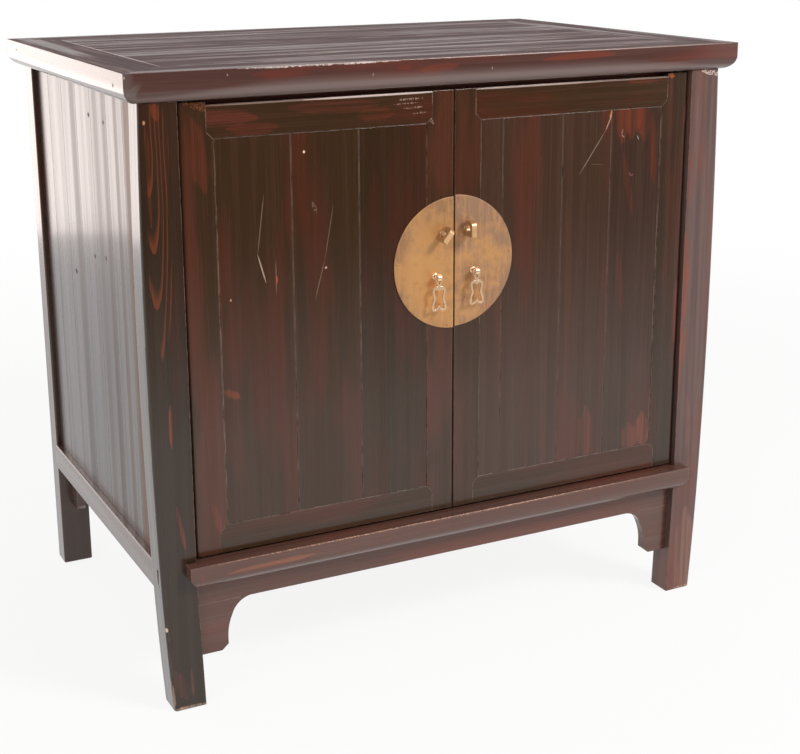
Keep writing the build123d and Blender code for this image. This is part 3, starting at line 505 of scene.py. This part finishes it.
def rubbedBrass(name, browned, plate=None, **changes):
    look = {**yellowBrass, **changes}
    material, tree = newMaterial(name)
    place = add(tree, "TexCoord", out="Object")
    cloud = add(tree, "TexNoise", {"Vector": place, "Scale": 1 / (look["cloud"] * mm), "Detail": 5.0,
                                   "Roughness": 0.6})
    blotch = add(tree, "TexNoise", {"Vector": place, "Scale": 1 / (look["blotch"] * mm), "Detail": 4.0,
                                    "Roughness": 0.65, "Distortion": 0.6})
    across, along = (size * mm for size in look["rub"])
    stretched = add(tree, "VectorMath", (place, (1 / across, 1 / across, 1 / along)), operation="MULTIPLY")
    rub = add(tree, "TexNoise", {"Vector": stretched, "Scale": 1.0, "Detail": 3.0, "Roughness": 0.6})
    nearRim = 0.0
    if plate:
        low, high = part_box(plate)
        middle, radius = (0, low[1], (low[2] + high[2]) / 2), (high[2] - low[2]) / 2
        fromMiddle = add(tree, "VectorMath", (place, middle), 1, operation="DISTANCE")
        nearRim = add(tree, "MapRange", (fromMiddle, radius * look["rimFrom"], radius),
                      interpolation_type="SMOOTHSTEP")
    between = [limit - look["browning"] * browned for limit in look["cloudBetween"]]
    clouded = add(tree, "MapRange", (cloud, *between), interpolation_type="SMOOTHSTEP")
    brown = add(tree, "Math", (nearRim, look["rimBrown"], clouded), operation="MULTIPLY_ADD", use_clamp=True)
    # faces turned away from the front are browned by their normal: partly tarnish, partly painted shade
    if look["bodyBrownAndShade"]:
        backward = add(tree, "SeparateXYZ", (add(tree, "TexCoord", out="Normal"),), 1)
        body = add(tree, "MapRange", (backward, *look["frontBetween"], 0.0, look["bodyBrownAndShade"]))
        brown = add(tree, "Math", (brown, body), operation="MAXIMUM")
    blotched = add(tree, "MapRange", (blotch, *look["blotchBetween"]), interpolation_type="SMOOTHSTEP")
    redness = add(tree, "Math", (nearRim, look["rimRed"], look["redShare"]), operation="MULTIPLY_ADD")
    red = add(tree, "Math", (blotched, redness), operation="MULTIPLY")
    rubbed = add(tree, "MapRange", (rub, *look["rubBetween"], 0.0, look["rubShare"]),
                 interpolation_type="SMOOTHSTEP")
    eased, turned = easedEdge(tree, look["easedEdge"])
    edge = add(tree, "MapRange", (turned, *look["edgeBetween"], 0.0, look["edgeShare"]),
               interpolation_type="SMOOTHSTEP")
    colour = linear(look["yellow"])
    for share, layer in ((brown, "brown"), (red, "red"), (rubbed, "yellow"), (edge, "rim")):
        colour = add(tree, "Mix", {0: share, 6: colour, 7: linear(look[layer])}, 2, data_type="RGBA")
    dents = add(tree, "TexVoronoi", {"Vector": place, "Scale": 1 / (look["hammer"] * mm)},
                feature="SMOOTH_F1")
    height = add(tree, "Math", (rub, look["rubRelief"], dents), operation="MULTIPLY_ADD")
    bump = add(tree, "Bump", {"Height": height, "Distance": look["relief"] * mm, "Normal": eased})
    metal = add(tree, "MapRange", (brown, 0.0, 1.0, look["bare"], look["bareUnderBrown"]))
    rough = add(tree, "MapRange", (brown, 0.0, 1.0, *look["roughness"]))
    shader = add(tree, "BsdfPrincipled", {"Base Color": colour, "Metallic": metal, "Roughness": rough,
                                          "Normal": bump})
    add(tree, "OutputMaterial", {"Surface": shader}, None)
    return material


# Cast copper, zinc and nickel: a silvery pink that fingers keep bright, grey-brown in the corners they miss.
whiteBrass = {
    "bright": "#efcca6",
    "tarnish": "#6f584d",
    "cloud": 6,                   # mm
    "cloudBetween": (0.3, 0.6),
    "corner": 4,                  # mm
    "cornerBetween": (1.0, 0.6),  # openness, where the tarnish begins and where it is full
    "relief": 0.12,               # mm
    "easedEdge": 0.7,             # mm
    "bare": 0.7,                  # share of the metal that has no skin
    "roughness": (0.26, 0.5),
}


def castWhiteBrass(name):
    look = whiteBrass
    material, tree = newMaterial(name)
    place = add(tree, "TexCoord", out="Object")
    openness = add(tree, "AmbientOcclusion", {"Distance": look["corner"] * mm}, "AO", samples=6,
                   only_local=True)
    hidden = add(tree, "MapRange", (openness, *look["cornerBetween"]), interpolation_type="SMOOTHSTEP")
    cloud = add(tree, "TexNoise", {"Vector": place, "Scale": 1 / (look["cloud"] * mm), "Detail": 4.0})
    clouded = add(tree, "MapRange", (cloud, *look["cloudBetween"]), interpolation_type="SMOOTHSTEP")
    dull = add(tree, "Math", (hidden, clouded), operation="MULTIPLY")
    colour = add(tree, "Mix", {0: dull, 6: linear(look["bright"]), 7: linear(look["tarnish"])}, 2,
                 data_type="RGBA")
    rough = add(tree, "MapRange", (dull, 0.0, 1.0, *look["roughness"]))
    eased = add(tree, "Bevel", (look["easedEdge"] * mm,), samples=6)
    bump = add(tree, "Bump", {"Height": cloud, "Distance": look["relief"] * mm, "Normal": eased})
    shader = add(tree, "BsdfPrincipled", {"Base Color": colour, "Metallic": look["bare"], "Roughness": rough,
                                          "Normal": bump})
    add(tree, "OutputMaterial", {"Surface": shader}, None)
    return material


print("wood and brass described")


# the places of the seams in a row of boards of one width, across the frame's own piece
def seamsOf(node, axis, count, gap=0.4):
    low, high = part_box(node)
    first, last = low[axis] / mm, high[axis] / mm + gap
    return [first + (last - first) * number / count for number in range(1, count)]


dressed = []


def dress(nodes, material):
    for node in nodes:
        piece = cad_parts[node]
        if not piece.material_slots:
            piece.data.materials.append(None)
        for slot in piece.material_slots:
            slot.material = material
    dressed.extend(nodes)


# In each piece's dictionary, pith is where the heart of the tree lay, in mm across the face and through it.
# Seams are joints between boards that show as pale lines, and parted are those that show only in the grain.
# bareSide is an axis, a place in mm, and on which side of it the wood has no lacquer. The marks are each a
# kind of wear, from, to, width in mm, tint and strength.
leftPost = {
    "pith": (-437, -238),
    "lean": (0, 0.073),
    "film": "#2a1c11",
    "streak": "#372617",
    "red": "#3e1f10",
    "redShare": 0.4,
    "ringRelief": 0,
    "marks": [
        ("rings", (-439, 900), (-440, 520), 24, "#6c341c", 0.8),
        ("rub", (-440, 860), (-436, 838), 10, "#78361f", 0.6),
        ("rub", (-452, 838), (-450, 700), 6, "#6c321a", 0.7),
        ("scratch", (-453.5, 838), (-453.5, 833), 2.4, "#c08c66", 0.8),
        ("scratch", (-456, 131.5), (-456, 125.5), 2.4, "#e6c49a", 1.0),
        ("rub", (-436, 455), (-437, 395), 4, "#8c3a22", 0.8),
        ("rub", (-434, 310), (-424, 245), 5, "#7c3420", 0.7),
        ("rub", (-423, 62), (-422, 18), 3, "#8a4636", 0.8),
        ("rub", (-447, 62), (-430, 16), 16, "#5a2f28", 0.5),
        ("rub", (-453, 48), (-450, 3), 5, "#b99a86", 0.8),
        ("rub", (-452, 3), (-403, 3), 5, "#b99a86", 0.8),
    ],
}
rightPostPaintedGlare = {
    "pith": (452, -236),
    # the film, its streaks and red are painted lighter and pinker than the left post's: painted glare from
    # the bright white beside it
    "film": "#503c38",
    "streak": "#624c46",
    "red": "#683c32",
    "streakShare": 0.9,
    "redShare": 0.8,
    "redFrom": 0.44,
    "coat": 0.35,
    "roughness": (0.3, 0.45),
    "marks": [
        ("rub", (410, 785), (411, 705), 9, "#7e3a2a", 0.6),
        ("rub", (415, 735), (413, 655), 6, "#84402c", 0.5),
        ("rub", (411, 610), (412, 520), 11, "#84402a", 0.55),
        ("rub", (418, 565), (416, 470), 6, "#8a4428", 0.5),
        ("rub", (409, 520), (411, 330), 6, "#86422a", 0.6),
        ("rub", (417, 455), (415, 395), 7, "#84442c", 0.45),
        ("chips", (428, 858), (464, 852), 8, "#cbb8ae", 0.8),
        ("rub", (428, 340), (432, 250), 9, "#84503e", 0.4),
        ("rub", (436, 140), (438, -20), 34, "#8e6352", 0.6),
        ("chips", (412, 3), (456, 3), 4, "#b99a86", 0.7),
    ],
}
rearPosts = {"pith": (-430, 330), "film": "#3c2a21"}
dress(["front_left_leg"], lacqueredSoftwood("lacqueredFirLeftPost", "Z", **leftPost))
dress(["front_right_leg"], lacqueredSoftwood("lacqueredFirRightPostPaintedGlare", "Z", **rightPostPaintedGlare))
dress(["rear_left_leg", "rear_right_leg"], lacqueredSoftwood("lacqueredFirRearPosts", "Z", **rearPosts))
print("posts dressed")

slabFilm = {
    "film": "#472e29",
    "streak": "#553932",
    "red": "#633024",
    "specular": 0.08,
    "coat": 0.95,
    # faces that look up get the dull film, partly painted reflection of the room
    "dulledAndPaintedSheen": True,
}
longRails = {
    **slabFilm,
    "pith": (880, -260),
    "wear": 1.5,
    "marks": [
        ("rub", (-310, 890), (-216, 894), 10, "#743222", 0.6),
        ("rub", (-100, 888), (-78, 890), 5, "#7c3222", 0.6),
        ("rub", (-64, 884), (-6, 888), 10, "#7a3a26", 0.6),
        ("rub", (135, 889), (255, 893), 9, "#7a3828", 0.6),
        ("chips", (-330, 898.8), (-95, 898.8), 3, "#ddcfc8", 0.8),
        ("scratch", (-330, 899.4), (-100, 899.4), 1.2, "#c9b5ad", 0.6),
        ("scratch", (-90, 899.4), (470, 899.4), 1.3, "#b59a92", 0.6),
        ("scratch", (-344, 893.5), (-344, 890.5), 1.4, "#b8a498", 0.5),
        ("scratch", (-136, 884), (-136, 880), 1.4, "#b8a498", 0.5),
        ("scratch", (49, 884), (49, 880), 1.4, "#b8a498", 0.5),
        ("scratch", (-480.5, 897), (-480.5, 893), 1.8, "#f0dcd0", 0.9),
        # painted reflection of the white floor: a pale band along the rounded underside of the front rail,
        # and pale greys on the rounded left corner
        ("scratch", (-470, 862), (478, 862), 26, "#75625e", 0.8),
        ("scratch", (-483, 903), (-478, 872), 17, "#5e504c", 0.7),
        ("scratch", (-478, 876), (-470, 868), 26, "#665752", 0.7),
    ],
}
endRails = {
    **slabFilm,
    "pith": (0, 850),
    "plane": "side",
    "marks": [
        ("knot", (-272, 884), (-272, 879), 4, "#6f5546", 0.9),
        ("knot", (256, 889), (256, 886), 4, "#6f5546", 0.9),
        ("scratch", (-289, 898), (-287, 889), 1.4, "#4a3834", 0.8),
    ],
}
topBoards = {
    **slabFilm,
    "seams": (-246, *seamsOf("top_boards", 1, 5), 251),
    "pith": (0, 700),
    "wear": 1.2,
    "seam": "#ac9893",
    "seamWidth": 3.6,
    "seamShare": 0.9,
    "dash": 60,
    "bareSide": ("Z", 884, "LESS_THAN"),
    "plane": "top",
    "marks": [
        ("scratch", (-410.6, -256), (-410.6, 262), 2.2, "#cdbab4", 0.9),
        ("scratch", (410.6, -256), (410.6, 262), 2.0, "#b39f99", 0.6),
        # pale rubs along the grain: partly wear, partly painted reflection of the room seen along the top
        ("rub", (-190, -192), (-100, -158), 9, "#a89890", 0.7),
        ("rub", (170, -130), (320, -112), 11, "#a09088", 0.7),
        ("rub", (-150, 122), (-60, 105), 9, "#94847e", 0.6),
        ("rub", (-60, -45), (90, -28), 9, "#94847e", 0.5),
    ],
}
dress(["top_front_rail", "top_back_rail"], lacqueredSoftwood("lacqueredFirTopRails", "X", **longRails))
dress(["top_left_rail", "top_right_rail"], lacqueredSoftwood("lacqueredFirTopEndRails", "YX", **endRails))
dress(["top_boards"], lacqueredSoftwood("lacqueredFirTopBoards", "XY", **topBoards))
print("top dressed")

lowFilm = {"film": "#53372e", "streak": "#62443a", "red": "#66382b"}
sill = {
    **lowFilm,
    "pith": (150, -250),
    "wear": 1.5,
    "marks": [
        ("chips", (-395, 221.2), (330, 221.2), 2.2, "#b98468", 0.7),
        ("rub", (-370, 204), (-240, 208), 8, "#8c5238", 0.7),
        ("rub", (-409, 214), (-405, 190), 5, "#7a3622", 0.7),
    ],
}
apron = {**lowFilm, "pith": (60, -200)}
sideRails = {"pith": (190, 0), "film": "#4a3630", "streak": "#5a443c"}
backRails = {"pith": (880, 360), "coat": 0.25}
dress(["sill"], lacqueredSoftwood("lacqueredFirSill", "X", **sill))
dress(["front_apron", "front_left_bracket", "front_right_bracket"],
      lacqueredSoftwood("lacqueredFirApron", "X", **apron))
dress([f"{side}_{part}" for side in ("left", "right")
       for part in ("bottom_rail", "front_bracket", "rear_bracket")],
      lacqueredSoftwood("lacqueredFirSideRails", "Y", **sideRails))
dress(["rear_bottom_rail", "rear_top_rail"], lacqueredSoftwood("lacqueredFirBackRails", "X", **backRails))
print("sill, apron and rails dressed")

sideFilm = {
    "film": "#322524",
    "streak": "#40302b",
    "red": "#452d2a",
    "hollow": 0.3,
    "ringRelief": 0,
    "hairRelief": 0,
    "specular": 0.2,
    "coat": 0.46,
    "coatLoss": 0.35,
    "roughness": (0.25, 0.3),
    "plane": "side",
}
leftSide = {
    **sideFilm,
    "parted": seamsOf("left_side_boards", 1, 7),
    "bareSide": ("X", -442, "GREATER_THAN"),
    "marks": [
        ("knot", (-26.6, 818), (-26.6, 812), 7, "#3a241c", 0.9),
        ("knot", (-101, 815), (-101, 810), 6, "#3a241c", 0.8),
        ("knot", (94.6, 563), (94.6, 556), 8, "#3a241c", 0.9),
        ("knot", (-18.5, 609), (-18.5, 603), 6, "#3a241c", 0.8),
        ("knot", (-77, 617), (-77, 611), 6, "#3a241c", 0.8),
        ("knot", (-210, 603), (-210, 597), 7, "#3a241c", 0.8),
        ("dull", (-214, 1300), (-209, -200), 24, "#7c5238", 0.5),
        ("dull", (-160, 1300), (-156, -200), 13, "#644a3a", 0.35),
        ("dull", (-104, 1300), (-100, -200), 13, "#5a4436", 0.35),
        ("dull", (-62, 1300), (-56, -200), 18, "#5a473b", 0.3),
        ("dull", (60, 1300), (66, -200), 22, "#4c3d36", 0.3),
    ],
}
rightSide = {
    **sideFilm,
    "parted": seamsOf("right_side_boards", 1, 7),
    "bareSide": ("X", 442, "LESS_THAN"),
}
back = {
    "parted": seamsOf("back_boards", 0, 7),
    "coat": 0.2,
    "roughness": (0.4, 0.55),
    "bareSide": ("Y", 301, "LESS_THAN"),
}
dress(["left_side_boards"], lacqueredSoftwood("lacqueredFirLeftSide", "ZY", **leftSide))
dress(["right_side_boards"], lacqueredSoftwood("lacqueredFirRightSide", "ZY", **rightSide))
dress(["back_boards"], lacqueredSoftwood("lacqueredFirBack", "Z", **back))
print("sides and back dressed")

leftDoorBoards = {
    "seams": (-358.4, -250, -149),
    "wear": 1.3,
    "bareSide": ("Y", -284, "GREATER_THAN"),
    "marks": [
        ("scratch", (-291, 728), (-302, 647), 0.9, "#8a7263", 0.6),
        ("scratch", (-302, 647), (-291, 607), 1.3, "#b49a86", 0.8),
        ("scratch", (-276, 637), (-276, 588), 0.8, "#8a7263", 0.6),
        ("scratch", (-275, 615), (-275, 604), 2.0, "#a5523c", 0.7),
        ("scratch", (-189, 705), (-203, 630), 0.8, "#8a7263", 0.5),
        ("scratch", (-203, 630), (-219, 574), 0.8, "#8a7263", 0.6),
        ("scratch", (-231, 783.5), (-231, 780), 2.2, "#f0c9a4", 1.0),
        ("scratch", (-201.5, 620), (-201.5, 617), 2.0, "#d8b498", 0.9),
        ("scratch", (-342.6, 590), (-342.6, 587), 1.8, "#c89c80", 0.8),
        ("chips", (-220, 712), (-214, 696), 6, "#857163", 0.5),
        ("rub", (-358, 462), (-334, 450), 9, "#7a3a1e", 0.7),
    ],
}
rightDoorBoards = {
    "seams": (81, 183, 269, 358.4),
    "film": "#3a2519",
    "streak": "#492e20",
    "red": "#532619",
    "wear": 1.3,
    "bareSide": ("Y", -284, "GREATER_THAN"),
    "marks": [
        ("scratch", (269, 808), (265, 796), 2.4, "#c07a50", 0.9),
        ("scratch", (268, 800), (258, 778), 1.3, "#b08a72", 0.9),
        ("scratch", (258, 778), (213, 715), 0.9, "#9a8474", 0.7),
        ("scratch", (233, 729), (258, 727), 0.8, "#7a6255", 0.4),
        ("scratch", (289, 778), (287, 770), 1.3, "#a8948c", 0.7),
        ("scratch", (287, 770), (292, 765), 1.3, "#a8948c", 0.7),
        ("scratch", (315, 767), (319, 760), 1.3, "#a8948c", 0.6),
        ("scratch", (303, 712), (306, 706), 1.2, "#94615a", 0.6),
        ("scratch", (306, 706), (311, 708), 1.2, "#94615a", 0.6),
        ("rub", (284, 840), (290, 760), 24, "#74301a", 0.6),
        ("rub", (303, 845), (306, 765), 26, "#7a341c", 0.6),
        ("rub", (325, 840), (330, 760), 24, "#6e2c18", 0.55),
        ("rub", (341, 800), (350, 690), 12, "#632718", 0.7),
        ("rub", (292, 740), (312, 645), 10, "#5e2a1c", 0.6),
        ("rub", (288, 590), (300, 490), 10, "#55271a", 0.6),
        ("rub", (318, 306), (322, 262), 24, "#743a2a", 0.5),
        ("rub", (344, 322), (349, 262), 18, "#8a4630", 0.5),
        ("rub", (236, 346), (240, 262), 22, "#703a2a", 0.45),
    ],
}
stiles = {
    "parted": (-100, 0, 100),
    "pith": (0, -200),
    "redFrom": 0.42,
    "red": "#522718",
    "bareSide": ("Y", -276, "GREATER_THAN"),
    "marks": [
        ("chips", (-406, 864), (-362, 846), 14, "#84492e", 0.6),
        ("scratch", (-402, 868), (-378, 862), 1.6, "#b98a70", 0.7),
        ("rub", (-393, 840), (-373, 742), 26, "#5e2a1a", 0.7),
        ("rub", (-395, 700), (-388, 420), 26, "#522819", 0.55),
        ("rub", (-379, 302), (-370, 258), 9, "#6b2f20", 0.7),
        ("chips", (-58, 836), (-34, 808), 10, "#a88f7e", 0.6),
        ("rub", (401, 530), (402, 430), 8, "#70301e", 0.7),
        ("rub", (405, 812), (406, 770), 4, "#a04a2c", 0.6),
        ("rub", (370, 855), (380, 852), 6, "#a0522c", 0.8),
    ],
}
doorRails = {
    "pith": (880, -200),
    "bareSide": ("Y", -276, "GREATER_THAN"),
    "marks": [
        ("rub", (-390, 838), (-300, 832), 20, "#6a2e22", 0.6),
        ("rub", (-340, 820), (-268, 818), 15, "#642a20", 0.55),
        ("rub", (-250, 842), (-120, 840), 17, "#602c1f", 0.55),
        ("rub", (-150, 826), (-96, 826), 17, "#682e1c", 0.5),
        ("chips", (-92, 843), (-50, 844), 3, "#a88f7e", 0.6),
        ("chips", (-96, 837), (-58, 838), 2.6, "#a88f7e", 0.5),
        ("chips", (-80, 831), (-50, 832), 3, "#a88f7e", 0.6),
        ("chips", (-66, 823), (-44, 824), 2.4, "#a88f7e", 0.5),
        ("rub", (292, 849), (348, 847), 6, "#6b2f20", 0.6),
        ("scratch", (-392, 851.4), (-14, 851.4), 1.5, "#9c857b", 0.6),
        ("scratch", (-230, 851.4), (-14, 851.4), 1.9, "#dcc9c1", 0.7),
        ("scratch", (14, 851.4), (250, 851.4), 1.7, "#c4aea5", 0.7),
        ("scratch", (180, 851.4), (392, 851.4), 1.4, "#9c857b", 0.6),
    ],
}
dress(["left_door_boards"], lacqueredSoftwood("lacqueredFirLeftDoor", "Z", **leftDoorBoards))
dress(["right_door_boards"], lacqueredSoftwood("lacqueredFirRightDoor", "Z", **rightDoorBoards))
dress([f"{side}_{part}" for side in ("left", "right") for part in ("pivot_stile", "meeting_stile")],
      lacqueredSoftwood("lacqueredFirDoorStiles", "Z", **stiles))
dress([f"{side}_door_{part}" for side in ("left", "right") for part in ("top_rail", "bottom_rail")],
      lacqueredSoftwood("lacqueredFirDoorRails", "X", **doorRails))
print("doors dressed")

lintel = {
    "pith": (880, -200),
    # the red film is far lighter than the rest: partly a red lacquer, partly painted light in the shaded gap
    # under the slab
    "film": "#733a27",
    "streak": "#80452e",
    "red": "#8a4028",
    "bareSide": ("Y", -251, "GREATER_THAN"),
}
floorAndShelfJoints = (-123, 17, 157)
dress(["lintel"], lacqueredSoftwood("lacqueredFirLintel", "X", **lintel))
dress(["floor_boards", "shelf_boards", "left_door_battens", "right_door_battens"],
      bareSoftwood("bareFirAlongX", "XY", floorAndShelfJoints))
dress(["floor_bearer", "top_battens", "left_shelf_bearer", "right_shelf_bearer", "left_top_rail",
       "right_top_rail"], bareSoftwood("bareFirAlongY", "YX"))
print("inside dressed")

plates = {
    "left": {"browned": 0.3},
    # the right plate is browned more than the left: partly tarnish, partly painted shade, as it mirrors
    # darker surroundings
    "right": {"browned": 0.7, "brown": "#9c775c"},
}
lugs = {"browned": 0.1, "bodyBrownAndShade": 0.9, "yellow": "#f6c490", "brown": "#8f6a42", "roughness": (0.36, 0.45)}
plateBrass = {}
for side, look in plates.items():
    plateBrass[side] = rubbedBrass(f"rubbedBrass{side.title()}Plate", plate=f"{side}_plate", **look)
    dress([f"{side}_plate"], plateBrass[side])
dress(["left_lug", "right_lug", "left_lug_washer", "right_lug_washer"],
      rubbedBrass("rubbedBrassLugs", **lugs))
dress(["left_staple", "right_staple", "left_pull", "right_pull"], castWhiteBrass("castWhiteBrassPulls"))
print("pieces dressed:", len(dressed), "of", len(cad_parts))

# Small domed brass pins that hold the rim of each half plate to its door.
rimPins = {
    "inset": 4.5,     # mm in from the plate's rim
    "radius": 1.4,
    "skirt": 0.2,     # mm, how far it is driven into the plate
    "profile": [(1.0, 0.2), (0.87, 0.72), (0.57, 1.06), (0.0, 1.2)],  # shares of the radius: out, and proud
    "steps": 16,
    "places": {"left": (94, 176, 263), "right": (86, 4, -83)},  # degrees round from the right-hand side
}


def rimPin(side, number, degrees):
    low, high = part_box(f"{side}_plate")
    reach = (high[2] - low[2]) / 2 - rimPins["inset"] * mm
    turn = math.radians(degrees)
    radius = rimPins["radius"] * mm
    shape = bmesh.new()
    dome = [(out * radius, -proud * radius) for out, proud in rimPins["profile"]]
    outline = [(radius, rimPins["skirt"] * mm), *dome]
    points = [shape.verts.new((out, y, 0)) for out, y in outline]
    edges = [shape.edges.new(pair) for pair in zip(points, points[1:])]
    bmesh.ops.spin(shape, geom=points + edges, axis=(0, 1, 0), angle=math.tau, steps=rimPins["steps"],
                   use_merge=True)
    bmesh.ops.remove_doubles(shape, verts=shape.verts, dist=0.01 * mm)
    bmesh.ops.recalc_face_normals(shape, faces=shape.faces)
    plateHeight = (low[2] + high[2]) / 2
    middle = Vector((reach * math.cos(turn), low[1], plateHeight + reach * math.sin(turn)))
    bmesh.ops.translate(shape, verts=shape.verts, vec=middle)
    mesh = bpy.data.meshes.new(f"{side}_rim_pin_{number}")
    shape.to_mesh(mesh)
    shape.free()
    mesh.polygons.foreach_set("use_smooth", [True] * len(mesh.polygons))
    pin = bpy.data.objects.new(mesh.name, mesh)
    bpy.context.collection.objects.link(pin)
    mesh.materials.append(plateBrass[side])
    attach(pin, f"{side}_door")


for side, places in rimPins["places"].items():
    for number, degrees in enumerate(places, 1):
        rimPin(side, number, degrees)
print("rim pins made")

# A white paper floor that fades into a white wall, soft lamps, and a dark card that the doors mirror.
studio = {
    "floorRadius": 14.0,
    "floorSides": 96,
    "floor": "#f3f2f0",
    "white": "#ffffff",
    "fade": (1.2, 3.2),    # m from the cabinet, where the paper turns into plain white
    "lift": 0.88,          # share of plain white in the paper near the cabinet
    "fill": 0.42,          # the white surroundings as a light, against how they look
}


def whiteSeen(tree):  # 1 where the camera sees it directly, mirrored or through glass
    path = add(tree, "LightPath", (), None).outputs
    seen = add(tree, "Math", (path["Is Camera Ray"], path["Is Glossy Ray"]), operation="ADD")
    return add(tree, "Math", (seen, path["Is Transmission Ray"]), operation="ADD", use_clamp=True)


def studioWorld():
    world = bpy.data.worlds.new("studioWorld")
    world.use_nodes = True
    tree = world.node_tree
    tree.nodes.clear()
    strength = add(tree, "MapRange", (whiteSeen(tree), 0.0, 1.0, studio["fill"], 1.0))
    sky = add(tree, "Background", {"Color": linear(studio["white"]), "Strength": strength})
    add(tree, "OutputWorld", {"Surface": sky}, None)
    bpy.context.scene.world = world


def studioFloor():
    mesh = bpy.data.meshes.new("studioFloor")
    radius, sides = studio["floorRadius"], studio["floorSides"]
    turns = [math.tau * number / sides for number in range(sides)]
    rim = [(radius * math.cos(turn), radius * math.sin(turn), 0) for turn in turns]
    mesh.from_pydata(rim, [], [tuple(range(sides))])
    floor = bpy.data.objects.new("studioFloor", mesh)
    bpy.context.collection.objects.link(floor)
    material, tree = newMaterial("mattWhitePaper")
    out = add(tree, "VectorMath", (add(tree, "TexCoord", out="Object"),), 1, operation="LENGTH")
    lifted = add(tree, "MapRange", (out, *studio["fade"], studio["lift"], 1.0),
                 interpolation_type="SMOOTHSTEP")
    bright = add(tree, "Math", (lifted, whiteSeen(tree)), operation="MULTIPLY")
    paper = add(tree, "BsdfDiffuse", (linear(studio["floor"]),))
    white = add(tree, "Emission", {"Color": linear(studio["white"]), "Strength": 1.0})
    mixed = add(tree, "MixShader", (bright, paper, white))
    add(tree, "OutputMaterial", {"Surface": mixed}, None)
    mesh.materials.append(material)


# place, target, size in m, watts, tint
lamps = {
    "keyLamp": ((2.0, -3.0, 2.9), (0, 0, 0.45), 1.1, 120, "#ffffff"),
    "fillLamp": ((-2.8, -2.2, 2.2), (0, 0, 0.5), 2.0, 40, "#ffffff"),
    "leftWindow": ((-1.8, 2.72, 1.0), (-0.5, 0, 0.9), 2.3, 38, "#ffeee6"),
}


def softLamp(name, place, target, size, watts, tint):
    light = bpy.data.lights.new(name, "AREA")
    light.size = size
    light.energy = watts
    light.color = linear(tint)[:3]
    made = bpy.data.objects.new(name, light)
    made.location = place
    made.rotation_euler = (Vector(target) - Vector(place)).to_track_quat("-Z", "Y").to_euler()
    made.visible_camera = False
    bpy.context.collection.objects.link(made)


# mirrored in the doors only: nearly black above, as bright as the floor at its foot
darkCard = {
    "y": -1.5,             # m, as are the next three and fadeTop
    "left": -4.0,
    "right": 1.36,
    "top": 1.4,
    "tint": "#ffffff",
    "grey": 0.05,          # how bright it is above fadeTop, and at its foot
    "foot": 0.75,
    "fadeTop": 0.42,
}


def cardInFront():
    left, right, top, y = (darkCard[key] for key in ("left", "right", "top", "y"))
    mesh = bpy.data.meshes.new("darkCard")
    mesh.from_pydata([(left, y, 0), (right, y, 0), (right, y, top), (left, y, top)], [], [(0, 1, 2, 3)])
    card = bpy.data.objects.new("darkCard", mesh)
    bpy.context.collection.objects.link(card)
    material, tree = newMaterial("gradedCloth")
    height = add(tree, "SeparateXYZ", (add(tree, "TexCoord", out="Object"),), 2)
    glow = add(tree, "MapRange", (height, 0.0, darkCard["fadeTop"], darkCard["foot"], darkCard["grey"]),
               interpolation_type="SMOOTHSTEP")
    cloth = add(tree, "Emission", {"Color": linear(darkCard["tint"]), "Strength": glow})
    add(tree, "OutputMaterial", {"Surface": cloth}, None)
    mesh.materials.append(material)
    card.visible_camera = card.visible_diffuse = card.visible_shadow = False


studioWorld()
studioFloor()
for name, settings in lamps.items():
    softLamp(name, *settings)
cardInFront()
print("studio lit")

camera = {
    "place": (-1.0199, -2.1411, 1.087),  # m
    "yaw": 26.83,                        # degrees, as are the next two
    "pitch": -15.15,
    "roll": 0.27,
    "lens": 67.2,                        # mm, as is the sensor's width
    "sensor": 36.0,
    "shiftY": -0.07,
    "clip": (0.05, 60),                  # m
}
view = bpy.data.cameras.new("mainCamera")
view.lens = camera["lens"]
view.sensor_width = camera["sensor"]
view.sensor_fit = "HORIZONTAL"
view.shift_y = camera["shiftY"]
view.clip_start, view.clip_end = camera["clip"]
viewer = bpy.data.objects.new("mainCamera", view)
turn = (Matrix.Rotation(math.radians(-camera["yaw"]), 4, "Z")
        @ Matrix.Rotation(math.radians(90 + camera["pitch"]), 4, "X")
        @ Matrix.Rotation(math.radians(-camera["roll"]), 4, "Z"))
viewer.matrix_world = Matrix.Translation(camera["place"]) @ turn
bpy.context.collection.objects.link(viewer)
bpy.context.scene.camera = viewer
bpy.context.scene.view_settings.view_transform = "Standard"
print("camera placed")
